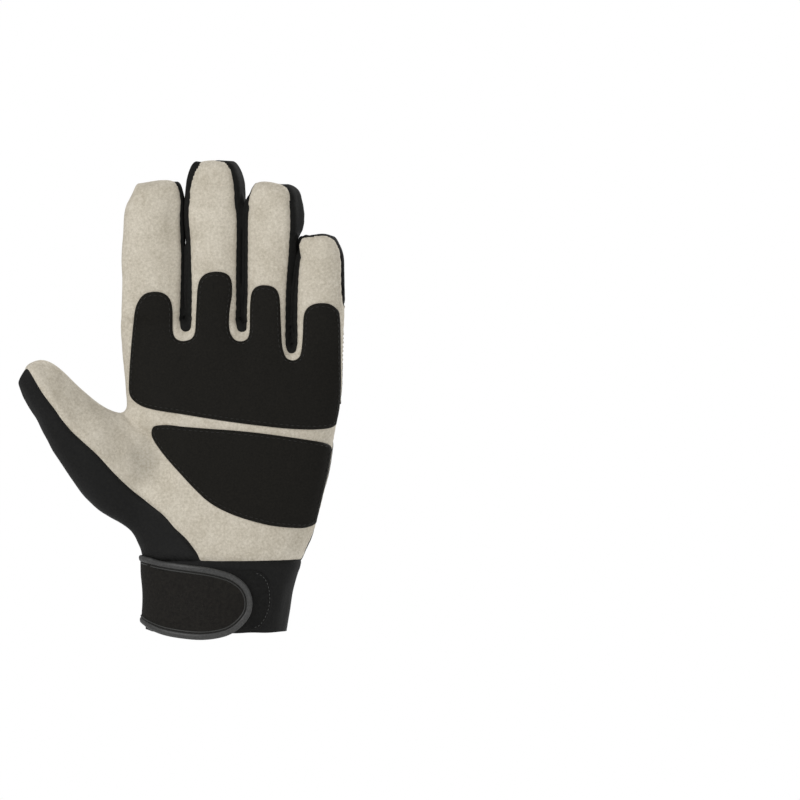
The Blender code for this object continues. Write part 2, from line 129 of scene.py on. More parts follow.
def editWhole(piece, work, **settings):
    # runs one edit-mode operator on the whole mesh
    makeActive(piece)
    bpy.ops.object.mode_set(mode="EDIT")
    bpy.ops.mesh.select_all(action="SELECT")
    work(**settings)
    bpy.ops.object.mode_set(mode="OBJECT")


def treeOf(points, keys=None):
    tree = KDTree(len(points))
    for k, point in enumerate(points):
        tree.insert(point, k if keys is None else keys[k])
    tree.balance()
    return tree


def evenOut(line, turns):
    # smooths an open line and keeps its ends
    for turn in range(turns):
        line[1:-1] = (line[:-2] + 2 * line[1:-1] + line[2:]) / 4
    return line


def spread(points, along, places):
    # the line's points at these distances along it
    return np.column_stack([np.interp(places, along, points[:, k]) for k in range(points.shape[1])])


def lengthsAlong(points):
    return np.concatenate([[0], np.cumsum(np.linalg.norm(np.diff(points, axis=0), axis=1))])


def curved(p0, p1, p2, p3, steps):
    # Catmull-Rom points from p1 towards p2
    return [0.5 * (2 * p1 + (p2 - p0) * t + (2 * p0 - 5 * p1 + 4 * p2 - p3) * t * t
                   + (3 * p1 - p0 - 3 * p2 + p3) * t**3) for t in np.linspace(0, 1, steps, endpoint=False)]


def insetOf(border, inset):
    # a closed flat line at this distance inside the border
    tangent = np.roll(border, -1, axis=0) - np.roll(border, 1, axis=0)
    inward = np.column_stack([-tangent[:, 1], tangent[:, 0]])
    return border + inward / np.linalg.norm(inward, axis=1)[:, None] * inset


def rampOf(tree, factor, dark, light, low, high):
    ramp = addNode(tree, "ShaderNodeValToRGB", {"Fac": factor})
    for element, position, colour in zip(ramp.color_ramp.elements, (low, high), (dark, light)):
        element.position = position
        element.color = hexColour(colour)
    return ramp.outputs["Color"]


def noiseOf(tree, place, size, detail, roughness=0.5):
    # noise with features of about this real size
    noise = addNode(tree, "ShaderNodeTexNoise",
                    {"Vector": place, "Scale": 1 / size, "Detail": detail, "Roughness": roughness})
    return noise.outputs["Fac"]


def finishShader(tree, shader, colour, roughness, specular, height=None, strength=0.0, depth=0.0):
    tree.links.new(colour, shader.inputs["Base Color"])
    shader.inputs["Roughness"].default_value = roughness
    shader.inputs["Specular IOR Level"].default_value = specular
    if height is not None:
        bump = addNode(tree, "ShaderNodeBump", {"Height": height, "Strength": strength, "Distance": depth})
        tree.links.new(bump.outputs["Normal"], shader.inputs["Normal"])


def suedeMaterial():
    # synthetic microfibre suede, brushed: matt, heathered, with a short nap
    made, tree, shader = newMaterial("brushedMicrofibreSuede")
    place = addNode(tree, "ShaderNodeTexCoord").outputs["Object"]
    fleck = noiseOf(tree, place, 1.3 * mm, 5, 0.75)
    patch = noiseOf(tree, place, 11 * mm, 2)
    blend = addNode(tree, "ShaderNodeMix", {"Factor": 0.25, "A": fleck, "B": patch})
    colour = rampOf(tree, blend.outputs["Result"], "#A9A08E", "#DDD6C8", 0.3, 0.7)
    # painted shade: the suede's colour is darkened in a soft patch in the crease below the thumb, where shade falls
    flat = addNode(tree, "ShaderNodeVectorMath", {0: place, 1: (1.3, 0.3, 0.8)}, operation="MULTIPLY")
    away = addNode(tree, "ShaderNodeVectorMath", {0: flat.outputs["Vector"], 1: (-47.5 * mm, -7 * mm, 70.4 * mm)},
                   operation="DISTANCE")
    paintedCreaseShade = addNode(tree, "ShaderNodeMapRange",
                      {"Value": away.outputs["Value"], "From Min": 2 * mm, "From Max": 15 * mm, "To Min": 0.72, "To Max": 1.0},
                      interpolation_type="SMOOTHSTEP")
    shade = addNode(tree, "ShaderNodeVectorMath", {0: colour, "Scale": paintedCreaseShade.outputs["Result"]}, operation="SCALE")
    finishShader(tree, shader, shade.outputs["Vector"], 0.95, 0.1, fleck, 0.4, 0.3 * mm)
    shader.inputs["Sheen Weight"].default_value = 0.1
    shader.inputs["Sheen Roughness"].default_value = 0.5
    return made


def knitMaterial(name, dark, light, courseSize, roughness, specular):
    # warp-knit stretch fabric: matt, with fine courses; drawn at courseSize so that it shows
    made, tree, shader = newMaterial(name)
    place = addNode(tree, "ShaderNodeTexCoord").outputs["Object"]
    courses = addNode(tree, "ShaderNodeTexVoronoi", {"Vector": place, "Scale": 1 / courseSize}, feature="F1")
    colour = rampOf(tree, noiseOf(tree, place, 1.6 * mm, 4, 0.7), dark, light, 0.35, 0.7)
    finishShader(tree, shader, colour, roughness, specular, courses.outputs["Distance"], 0.5, 0.15 * mm)
    return made


def grainMaterial(name, dark, light, size, detail, softness, roughness, specular, strength, depth):
    # a fine grain that shades and dents the surface alike
    made, tree, shader = newMaterial(name)
    grain = noiseOf(tree, addNode(tree, "ShaderNodeTexCoord").outputs["Object"], size, detail, softness)
    finishShader(tree, shader, rampOf(tree, grain, dark, light, 0.3, 0.75), roughness, specular, grain, strength, depth)
    return made


def padMaterial():
    # polyurethane-coated microfibre: brown-black, close grain, dull shine
    return grainMaterial("coatedPadLeather", "#0E0D0A", "#1C1A16", 0.9 * mm, 4, 0.65, 0.75, 0.15, 0.4, 0.2 * mm)


suede = suedeMaterial()
stretchKnit = knitMaterial("stretchSpandexKnit", "#0B0B0A", "#171715", 0.8 * mm, 0.8, 0.2)
sleeveKnit = knitMaterial("jerseySleeveKnit", "#090909", "#141413", 1.0 * mm, 0.72, 0.24)
bandFabric = knitMaterial("charcoalNeopreneBand", "#1A1A1A", "#262625", 0.7 * mm, 0.8, 0.2)
padLeather = padMaterial()
strapFabric = knitMaterial("strapHookBackedFabric", "#110F0D", "#1E1C18", 0.8 * mm, 0.8, 0.2)
loopPile = knitMaterial("loopFastenerPile", "#0C0C0B", "#181817", 0.5 * mm, 0.8, 0.2)


def tapeMaterial(name, dark, light):
    # polyester satin binding tape: folded over the edge, with a soft shine along it
    return grainMaterial(name, dark, light, 0.8 * mm, 3, 0.6, 0.5, 0.45, 0.2, 0.1 * mm)


def threadMaterial(name, colour, dark):
    # twisted polyester sewing thread: slightly glossy, with its two plies just visible
    made, tree, shader = newMaterial(name)
    ply = noiseOf(tree, addNode(tree, "ShaderNodeTexCoord").outputs["Object"], 0.35 * mm, 2)
    finishShader(tree, shader, rampOf(tree, ply, dark, colour, 0.35, 0.6), 0.6, 0.3)
    return made


bindingTape = tapeMaterial("satinBindingTape", "#2B2B2B", "#444443")
lipTape = tapeMaterial("bindingInnerLip", "#1D1D1C", "#2E2E2C")
beigeThread = threadMaterial("beigeSewingThread", "#A89F8C", "#857D6D")
blackThread = threadMaterial("blackSewingThread", "#2A2927", "#161615")
greyThread = threadMaterial("greySewingThread", "#4C4C4B", "#343433")

finishOf = {
    "palm_panel": suede, "thumb_gusset": suede, "fourchette_index_middle": stretchKnit,
    "fourchette_middle_ring": stretchKnit, "fourchette_ring_little": stretchKnit,
    "index_back_insert": stretchKnit, "middle_back_insert": stretchKnit, "ring_back_insert": stretchKnit,
    "little_back": stretchKnit, "knuckle_strip_middle": suede, "knuckle_strip_ring": suede,
    "knuckle_strip_little": suede, "back_yoke": stretchKnit, "back_band": bandFabric,
    "back_sleeve": sleeveKnit, "cuff": sleeveKnit,
}
panelNames = list(finishOf)
print("materials made")


# the glove's skin: one surface from the outer sides of all panels

skinSettings = {"wall": 1.5 * mm, "wallSlack": 0.004 * mm, "mergeReach": 0.01 * mm, "weldReach": 0.9 * mm, "levels": 3}


def outerSheet(name, thickness):
    # the outer side of a CAD wall: its rim faces hold an edge as long as the wall is thick
    bm = bmesh.new()
    bm.from_mesh(frame["nodes"][name].data)
    bmesh.ops.remove_doubles(bm, verts=bm.verts, dist=skinSettings["mergeReach"])
    bm.faces.ensure_lookup_table()
    upright = [e for e in bm.edges if abs(e.calc_length() - thickness) < skinSettings["wallSlack"]]
    # a second pass, without the edges that only happen to be that long
    for turn in range(2):
        rim = {f.index for e in upright for f in e.link_faces}
        group = {}
        areas = []
        for seed in bm.faces:
            if seed.index in rim or seed.index in group:
                continue
            stack, area = [seed], 0.0
            group[seed.index] = len(areas)
            while stack:
                face = stack.pop()
                area += face.calc_area()
                for edge in face.edges:
                    for other in edge.link_faces:
                        if other.index not in rim and other.index not in group:
                            group[other.index] = len(areas)
                            stack.append(other)
            areas.append(area)
        groupOfVert = {}
        for number, found in group.items():
            for v in bm.faces[number].verts:
                groupOfVert.setdefault(v.index, set()).add(found)
        upright = [e for e in upright
                   if not groupOfVert.get(e.verts[0].index, set()) & groupOfVert.get(e.verts[1].index, set())]
    best = int(np.argmax(areas))
    chosen = [bm.faces[number] for number, found in group.items() if found == best]
    verts = sorted({v.index for f in chosen for v in f.verts})
    place = {old: new for new, old in enumerate(verts)}
    bm.verts.ensure_lookup_table()
    points = [bm.verts[i].co[:] for i in verts]
    faces = [[place[v.index] for v in f.verts] for f in chosen]
    bm.free()
    return points, faces


skinPoints, skinFaces, skinPanels, panelOfPoint = [], [], [], []
for number, name in enumerate(panelNames):
    points, faces = outerSheet(name, skinSettings["wall"])
    base = len(skinPoints)
    skinPoints += points
    skinFaces += [[base + i for i in f] for f in faces]
    skinPanels += [number] * len(faces)
    panelOfPoint += [number] * len(points)

# borders of neighbouring panels are welded where each point is the other's nearest
edgeUse = {}
for face in skinFaces:
    for a, b in zip(face, face[1:] + face[:1]):
        edgeUse[frozenset((a, b))] = edgeUse.get(frozenset((a, b)), 0) + 1
borderPoints = sorted({i for edge, uses in edgeUse.items() if uses == 1 for i in edge})
tree = treeOf([skinPoints[i] for i in borderPoints], borderPoints)
nearestIn = {}
for i in borderPoints:
    for place, j, distance in tree.find_range(skinPoints[i], skinSettings["weldReach"]):
        key = (i, panelOfPoint[j])
        if panelOfPoint[j] != panelOfPoint[i] and distance < nearestIn.get(key, (1, 0))[0]:
            nearestIn[key] = (distance, j)
group = list(range(len(skinPoints)))


def leader(i):
    while group[i] != i:
        i = group[i]
    return i


for (i, panel), (distance, j) in nearestIn.items():
    if nearestIn.get((j, panelOfPoint[i]), (0, -1))[1] == i:
        group[leader(j)] = leader(i)
members = {}
for i in range(len(skinPoints)):
    members.setdefault(leader(i), []).append(i)
newIndex = {}
weldedPoints = []
for found in members.values():
    weldedPoints.append(np.mean([skinPoints[i] for i in found], axis=0))
    for i in found:
        newIndex[i] = len(weldedPoints) - 1
skin = meshObject("skin", weldedPoints, [[newIndex[i] for i in f] for f in skinFaces])
for name in panelNames:
    skin.data.materials.append(finishOf[name])
skin.data.polygons.foreach_set("material_index", skinPanels)
print("welded skin:", len(weldedPoints), "points")

# the welded triangles become quads again and are rounded by subdivision
editWhole(skin, bpy.ops.mesh.tris_convert_to_quads, face_threshold=math.pi, shape_threshold=math.pi,
          topology_influence=1.0, materials=True)
editWhole(skin, bpy.ops.mesh.normals_make_consistent, inside=False)
rounding = skin.modifiers.new("rounding", "SUBSURF")
rounding.levels = rounding.render_levels = skinSettings["levels"]
applyModifiers(skin)
print("skin faces:", len(skin.data.polygons))


def pointsIn(border, places):
    # which of these (x, z) places lie inside the border
    inside = np.zeros(len(places), bool)
    for (ax, az), (bx, bz) in zip(border, border[1:] + border[:1]):
        if az == bz:
            continue
        crosses = (az > places[:, 1]) != (bz > places[:, 1])
        at = ax + (bx - ax) * (places[:, 1] - az) / (bz - az)
        inside ^= crosses & (places[:, 0] < at)
    return inside


faceCentres = np.array([f.center[:] for f in skin.data.polygons]) / mm
faceNormals = np.array([f.normal[:] for f in skin.data.polygons])
faceStuff = np.array([f.material_index for f in skin.data.polygons])

# panels cut to the photograph's curves: side seen (-1 front, 1 back), panel, its border in mm (x, z),
# the box within which the border counts, and the panel left outside it
middleTip = [(-13.6, 214), (-13.5, 220.4), (-12.4, 228), (-10.4, 233.2), (-7.8, 236.8), (-6.2, 242), (-1.8, 242),
             (-0.6, 239.3), (3.6, 238.4), (6.6, 235.0), (8.4, 229), (9.2, 220.4), (9.3, 214)]
ringTip = [(16.2, 210), (16.4, 219), (17.4, 224.4), (19.4, 227.3), (23, 228.9), (27.5, 229.1), (31.8, 228.2),
           (34.6, 225.6), (36.4, 221), (37.2, 214), (37.2, 210)]
littleTip = [(41.9, 180), (42.1, 192), (43.3, 196.8), (46, 200.0), (50.5, 201.4), (56, 201.2), (60.3, 199.0),
             (62.6, 195), (63.5, 188), (63.9, 180)]
cuts = [
    (-1, "palm_panel", middleTip, (-18, -2, 220, 250), "fourchette_index_middle"),
    (-1, "palm_panel", middleTip, (-2, 16, 220, 250), "fourchette_middle_ring"),
    (-1, "palm_panel", [(-60, 214), (-60, 240), (-29, 240), (-26, 230.6), (-22.5, 229.2), (-19.8, 226.4),
                        (-18.2, 222), (-17.2, 216), (-17, 214)],
     (-30, -15, 216, 240), "fourchette_index_middle"),
    (-1, "palm_panel", ringTip, (12, 27, 216, 236), "fourchette_middle_ring"),
    (-1, "palm_panel", ringTip, (27, 46, 214, 236), "fourchette_ring_little"),
    (-1, "palm_panel", littleTip, (40, 50, 192, 206), "fourchette_ring_little"),
    (-1, "palm_panel", littleTip, (50, 68, 184, 206), "little_back"),
    (1, "index_back_insert", [(-34, 207.4), (-40, 207.8), (-43.6, 206), (-46, 201.5), (-46.9, 195), (-46.9, 187),
                              (-46, 180.3), (-43.6, 176.2), (-40, 174.4),
                              (-34, 174.2)], (-50, -36, 171, 211), "palm_panel"),
    (1, "back_band", [(-20, 135), (-44.2, 135), (-45.4, 128), (-45.2, 120), (-43.5, 110), (-41, 100), (-38.6, 91),
                      (-36, 82), (-20, 82)],
     (-58, -25, 93, 127.2), "palm_panel"),
    (1, "back_sleeve", [(-20, 135), (-44.2, 135), (-45.4, 128), (-45.2, 120), (-43.5, 110), (-41, 100),
                        (-38.6, 91), (-37.5, 84), (-38.5, 80.5), (-41.5, 76.5), (-46, 73.4), (-52, 71.2),
                        (-60, 70), (-60, 40), (-20, 40)], (-52, -25, 60, 93), "palm_panel"),
]
# how far a cut reaches round the side: the least share of the face's normal towards this side
cutFacing = {-1: -0.12, 1: 0.02}
gusset = panelNames.index("thumb_gusset")
for side, inner, border, (x0, x1, z0, z1), outer in cuts:
    inner, outer = panelNames.index(inner), panelNames.index(outer)
    near = (faceCentres[:, 0] > x0) & (faceCentres[:, 0] < x1) & (faceCentres[:, 2] > z0) & (faceCentres[:, 2] < z1)
    near &= faceNormals[:, 1] * side > cutFacing[side]
    inside = pointsIn(border, faceCentres[:, [0, 2]])
    swapped = near & inside & ((faceStuff == outer) | ((faceStuff == gusset) & (side > 0)))
    left = near & ~inside & (faceStuff == inner)
    faceStuff[swapped] = inner
    faceStuff[left] = outer
    print("cut", panelNames[inner], int(swapped.sum()), int(left.sum()))
for k, face in enumerate(skin.data.polygons):
    face.material_index = int(faceStuff[k])
faceCentres = faceCentres * mm

# where the seams run: points that faces of two panels share
facesAtEdge, panelsAt = {}, {}
for face in skin.data.polygons:
    for edge in face.edge_keys:
        facesAtEdge.setdefault(edge, []).append(face.index)
    for i in face.vertices:
        panelsAt.setdefault(i, set()).add(face.material_index)
seamLinks = {}
for edge, faces in facesAtEdge.items():
    if len(faces) == 2 and faceStuff[faces[0]] != faceStuff[faces[1]]:
        seamLinks.setdefault(edge[0], []).append(edge[1])
        seamLinks.setdefault(edge[1], []).append(edge[0])
seamPoints = {i: frozenset(panelNames[k] for k in found) for i, found in panelsAt.items() if len(found) > 1}
skinVerts = pointsOf(skin)
skinNormals = normalsOf(skin)
firstShape = BVHTree.FromPolygons([Vector(p) for p in skinVerts], [tuple(f.vertices) for f in skin.data.polygons])


easeSettings = {"turns": 14, "reach": 1.6 * mm, "relaxTurns": 6, "sideTurns": 30, "lastReach": 1.2 * mm}


def ontoFirstShape(points, chosen):
    for i in chosen:
        points[i] = firstShape.find_nearest(Vector(points[i]))[0]


def relaxNear(points, fixed, reach):
    # evens out the points beside the moved ones, so that no face folds over
    tree = treeOf([points[i] for i in fixed])
    held = set(fixed) | set(seamPoints)
    free = [i for i in range(len(points)) if i not in held and tree.find(points[i])[2] < reach]
    chosen = set(free)
    around = {i: [] for i in free}
    for a, b in facesAtEdge:
        if a in chosen:
            around[a].append(b)
        if b in chosen:
            around[b].append(a)
    for turn in range(easeSettings["relaxTurns"]):
        for i in free:
            points[i] = 0.5 * points[i] + 0.5 * points[around[i]].mean(axis=0)
    ontoFirstShape(points, free)


def easeSeam(chosen, turns):
    # each seam point moves halfway to the middle of its two neighbours, a number of times
    for turn in range(turns):
        moved = {i: 0.5 * skinVerts[i] + 0.25 * (skinVerts[seamLinks[i][0]] + skinVerts[seamLinks[i][1]])
                 for i in chosen}
        for i, place in moved.items():
            skinVerts[i] = place
    ontoFirstShape(skinVerts, chosen)


# seams run smoothly, also where a cut left steps
seamOrder = [i for i in seamLinks if len(seamLinks[i]) == 2]
easeSeam(seamOrder, easeSettings["turns"])
relaxNear(skinVerts, seamOrder, easeSettings["reach"])
setPoints(skin, skinVerts)
print("seams smoothed")


def seamLines(first, second):
    # the seam between two panels, as ordered runs of skin points
    pair = {panelNames.index(first), panelNames.index(second)}
    links = {}
    for edge, faces in facesAtEdge.items():
        if len(faces) == 2 and {int(faceStuff[f]) for f in faces} == pair:
            a, b = edge
            links.setdefault(a, []).append(b)
            links.setdefault(b, []).append(a)
    runs, seen = [], set()
    ends = sorted(i for i in links if len(links[i]) == 1) + sorted(links)
    for start in ends:
        if start in seen:
            continue
        run, at = [start], start
        seen.add(start)
        while True:
            further = [j for j in links[at] if j not in seen]
            if not further:
                break
            at = further[0]
            seen.add(at)
            run.append(at)
        if len(run) > 4:
            runs.append(run)
    return runs


facesAtPoint = {}
for face in skin.data.polygons:
    for i in face.vertices:
        if i in seamPoints:
            facesAtPoint.setdefault(i, []).append(face.index)


def outOf(panel, i):
    # direction in the surface, out of this panel across its seam at point i
    own = [f for f in facesAtPoint[i] if faceStuff[f] == panelNames.index(panel)]
    way = skinVerts[i] - faceCentres[own].mean(axis=0)
    way -= skinNormals[i] * (way @ skinNormals[i])
    return way / max(np.linalg.norm(way), 1e-9)


def nearestOn(curve, place):
    # nearest point of an open (x, z) line in metres
    best, found = 1e9, None
    for a, b in zip(curve[:-1], curve[1:]):
        part = b - a
        t = min(max(float((place - a) @ part / (part @ part)), 0), 1)
        gap = float(np.linalg.norm(a + part * t - place))
        if gap < best:
            best, found = gap, a + part * t
    return found, best


def slideSeam(chosen, ways, reach):
    # moves the skin along itself near these seam points
    global skinVerts
    tree = treeOf([skinVerts[i] for i in chosen])
    low, high = skinVerts[chosen].min(axis=0) - reach, skinVerts[chosen].max(axis=0) + reach
    box = np.where(((skinVerts > low) & (skinVerts < high)).all(axis=1))[0]
    moved, touched = skinVerts.copy(), []
    for i in box:
        distance = tree.find(skinVerts[i])[2]
        if distance <= reach:
            way = np.mean([ways[j] for spot, j, gap in tree.find_n(skinVerts[i], 5)], axis=0)
            moved[i] += way * math.cos(0.5 * math.pi * distance / reach) ** 2
            touched.append(i)
    ontoFirstShape(moved, touched)
    skinVerts = moved


# the palm's suede reaches a little further round the finger sides than its CAD edge: how far, up to which depth,
# and how far round it the skin moves along
slideSettings = {"fourchette_index_middle": 0.9 * mm, "fourchette_middle_ring": 0.9 * mm,
                 "fourchette_ring_little": 0.8 * mm, "depth": 2 * mm, "reach": 3 * mm}
fourchettes = [name for name in panelNames if name.startswith("fourchette")]
for second in fourchettes:
    chosen = [i for run in seamLines("palm_panel", second) for i in run if skinVerts[i][1] < slideSettings["depth"]]
    slideSeam(chosen, [outOf("palm_panel", i) * slideSettings[second] for i in chosen], slideSettings["reach"])

# seams laid on the photograph's lines: the two panels, side seen, line in mm (x, z), longest move in mm,
# and how far round it the skin moves along
lines = [
    ("palm_panel", "back_sleeve", -1, [(-96.4, 135.5), (-94.4, 132.9), (-91.2, 127.8), (-87.4, 121.4),
                                       (-82.9, 115.0), (-78.5, 108.7), (-72.7, 102.3), (-65.7, 95.9),
                                       (-59.3, 90.2), (-53.4, 83.4), (-47.5, 77.1), (-41.1, 71.4), (-33.5, 65.0),
                                       (-26.5, 59.8), (-20.8, 53.4), (-15.0, 48.3), (-10.6, 42.6),
                                       (-8.2, 36.8)], 3.2, 6),
    ("palm_panel", "cuff", -1, [(-8.2, 37.0), (20, 37.0), (44, 37.2)], 3.5, 9),
    ("back_sleeve", "cuff", -1, [(-39, 36.4), (-8.2, 37.0)], 3.5, 9),
    ("palm_panel", "little_back", -1, [(42.6, 193.2), (43.6, 196.2), (46, 199.1), (50, 200.7), (54, 201.0),
                                       (58, 200.4), (60.6, 198.9), (63, 195.2), (64.1, 188.6), (64.6, 177),
                                       (64.8, 168), (65.2, 150)], 2.6, 4),
    ("back_yoke", "back_band", 1, [(-46.5, 125.5), (-40, 127.2), (-30, 129.2), (-18, 130.8), (0, 131.3),
                                   (15, 130.2), (30, 127.0), (45, 122.5), (58, 118), (64, 116)], 6, 12),
    ("palm_panel", "middle_back_insert", 1, [(-12.5, 206.8), (-8, 208.2), (-2, 209.2), (4, 208.4), (10.5, 206)], 3, 5),
    ("palm_panel", "ring_back_insert", 1, [(18, 200.3), (24, 200.8), (30, 200.2), (36.5, 198)], 3, 5),
    ("knuckle_strip_ring", "ring_back_insert", 1, [(18, 174.6), (27, 172.8), (37, 170.2)], 3.5, 6),
    ("knuckle_strip_ring", "back_yoke", 1, [(18, 160), (27, 158.6), (37, 156.6)], 3, 6),
    ("knuckle_strip_little", "little_back", 1, [(42, 172.5), (52, 169.8), (66, 165.5)], 4, 6),
    ("knuckle_strip_little", "back_yoke", 1, [(42, 158), (52, 155.5), (66, 151.5)], 3.5, 6),
    ("knuckle_strip_middle", "middle_back_insert", 1, [(-13, 176.8), (-2, 175.4), (10.5, 173.8)], 3, 6),
    ("knuckle_strip_middle", "back_yoke", 1, [(-13, 162.2), (-2, 161.8), (10.5, 160.6)], 3, 6),
]
# a seam point takes part up to "away" past the silhouette, fading over "fade", when it is within "tooFar" longest moves
lineSettings = {"away": 0.55, "fade": 0.4, "tooFar": 1.5, "edgeOn": 1.6}
for first, second, side, line, most, reach in lines:
    line = [np.array(p) * mm for p in line]
    chosen, ways = [], []
    for run in seamLines(first, second):
        for i in run:
            turned = skinNormals[i][1] * side + lineSettings["away"]
            place, gap = nearestOn(line, skinVerts[i][[0, 2]])
            if turned < 0 or gap > lineSettings["tooFar"] * most * mm or gap == 0:
                continue
            share = min(max(turned / lineSettings["fade"], 0), 1) * min(1, most * mm / gap)
            move = np.array((place[0] - skinVerts[i][0], 0, place[1] - skinVerts[i][2])) * share
            # along the skin, and further where it is seen edge on
            inSkin = move - skinNormals[i] * (move @ skinNormals[i])
            size, length = np.linalg.norm(move), max(np.linalg.norm(inSkin), 1e-9)
            chosen.append(i)
            ways.append(inSkin / length * min(size * size / length, lineSettings["edgeOn"] * most * mm))
    if chosen:
        slideSeam(chosen, ways, reach * mm)
    print("seam laid:", first, second, len(chosen))
# seen edge on from the front, the little finger's seam needs evening once more
sideSeam = [i for run in seamLines("palm_panel", "little_back") for i in run
            if len(seamLinks[i]) == 2 and skinVerts[i][0] > 61 * mm]
easeSeam(sideSeam, easeSettings["sideTurns"])
relaxNear(skinVerts, sorted(seamPoints), easeSettings["lastReach"])

# small changes of the outline towards the photograph's: place (x, z) in mm, how far round it, and the move
outlineMoves = [
    (-12, 238, 9, -0.1, 1.0), (-2, 240, 7, 0.0, 0.5), (8, 238, 9, 0.2, 1.0), (14, 229, 8, 0.5, 0.0),
    (22, 229, 8, -0.1, 1.3), (40, 225, 8, 2.0, 1.2), (44.5, 199, 6, -1.6, 1.4), (54, 202, 8, 0.1, 1.0),
    (-45, 223, 8, 1.1, -0.5), (-24, 230, 8, 0.0, 0.8), (-17.5, 212, 13, -0.9, 0), (-49, 190, 12, -0.6, 0.0),
    (-96, 130, 12, 0.4, 0.5), (-68, 116, 12, 0.4, 0.6), (-88, 108, 14, 0.8, 0.6), (-58, 62, 14, -0.4, -0.4),
    (-41, 49, 6, -0.9, 0.0), (-39, 38, 6, 0.9, 0.0), (-38, 18, 15, 1.2, 0.0), (44, 22, 12, -0.9, 0.0),
    (-37.5, 1, 5, 1.2, 1.4), (-20.5, 199, 5, -0.8, 0.0), (-20.5, 206, 5, -0.8, 0.0), (-20.5, 213, 5, -0.8, 0.0),
    (-21, 220, 5, -0.8, 0.0), (-30, 0, 9, 0.0, 0.6), (-14, 0, 9, 0.0, 0.5), (2, 0, 9, 0.0, 0.5),
    (18, 0, 9, 0.0, 0.5), (34, 0, 9, 0.0, 0.5),
]
# fingertips are evened out, so that the seams meeting there leave no corners: place (x, z) in mm and reach
tips = [(-30, 228, 15), (-1, 238, 15), (29, 227, 15), (54, 199, 13), (-95, 130, 10)]
tipSettings = {"turns": 16, "share": 0.6}
moveSettings = {"fall": 1.8, "end": 1.6}


def gapTo(x, z, reach):
    # each skin point's distance across and up from this place, in reaches
    return np.hypot(skinVerts[:, 0] - x * mm, skinVerts[:, 2] - z * mm) / (reach * mm)


edgeEnds = np.array(list(facesAtEdge))
degree = np.bincount(edgeEnds.ravel(), minlength=len(skinVerts))[:, None]
hold = np.zeros(len(skinVerts))
for x, z, reach in tips:
    hold = np.maximum(hold, np.clip(2 - 2 * gapTo(x, z, reach), 0, 1))
for turn in range(tipSettings["turns"]):
    total = np.zeros_like(skinVerts)
    np.add.at(total, edgeEnds[:, 0], skinVerts[edgeEnds[:, 1]])
    np.add.at(total, edgeEnds[:, 1], skinVerts[edgeEnds[:, 0]])
    skinVerts = skinVerts + tipSettings["share"] * hold[:, None] * (total / degree - skinVerts)
shift = np.zeros_like(skinVerts)
for x, z, reach, dx, dz in outlineMoves:
    gap = gapTo(x, z, reach)
    share = np.where(gap < moveSettings["end"], np.exp(-moveSettings["fall"] * gap ** 2), 0)
    shift += share[:, None] * np.array((dx, 0, dz)) * mm
skinVerts = skinVerts + shift
setPoints(skin, skinVerts)
faceCentres = np.array([f.center[:] for f in skin.data.polygons])
skinNormals = normalsOf(skin)
pairs = sorted({tuple(sorted(found)) for found in seamPoints.values() if len(found) == 2})
seams = {pair: seamLines(*pair) for pair in pairs}
outWays = {(name, i): outOf(name, i) for i, found in seamPoints.items() for name in found}
print("seam points:", len(seamPoints))
tipHold = treeOf([(x * mm, 0, z * mm) for x, z, reach in tips])

# one piece for each panel
for number, name in enumerate(panelNames[1:], 1):
    makeActive(skin)
    bpy.ops.object.mode_set(mode="EDIT")
    bpy.ops.mesh.select_all(action="DESELECT")
    skin.active_material_index = number
    bpy.ops.object.material_slot_select()
    bpy.ops.mesh.separate(type="SELECTED")
    bpy.ops.object.mode_set(mode="OBJECT")
panels = {}
for piece in [o for o in bpy.data.objects if o.name.startswith("skin")]:
    name = panelNames[piece.data.polygons[0].material_index]
    panels[name] = piece
    piece.name = name + "_sewn"
    piece.data.materials.clear()
    piece.data.materials.append(finishOf[name])
    piece.data.polygons.foreach_set("material_index", [0] * len(piece.data.polygons))
print("panels:", {name: len(piece.data.polygons) for name, piece in panels.items()})


# a panel that is stitched on top of its neighbour ends in a raised edge, one that is seamed inside out dips
raisedOver = {
    ("palm_panel", "index_back_insert"), ("palm_panel", "middle_back_insert"), ("palm_panel", "ring_back_insert"),
    ("knuckle_strip_middle", "middle_back_insert"), ("knuckle_strip_ring", "ring_back_insert"),
    ("knuckle_strip_little", "little_back"), ("knuckle_strip_middle", "back_yoke"),
    ("knuckle_strip_ring", "back_yoke"), ("knuckle_strip_little", "back_yoke"), ("back_yoke", "back_band"),
    ("palm_panel", "thumb_gusset"),
}
seamSettings = {"groove": 0.7 * mm, "grooveWidth": 1.0 * mm, "puff": 0.3 * mm, "puffAt": 3.2 * mm,
                "puffWidth": 2 * mm, "step": 0.45 * mm, "stepWidth": 4 * mm, "pucker": 0.12 * mm,
                "puckerWidth": 2.5 * mm, "puckerAcross": 1150, "puckerUp": 1420}


def fadeFrom(distance, width):
    return math.exp(-((distance / width) ** 2))


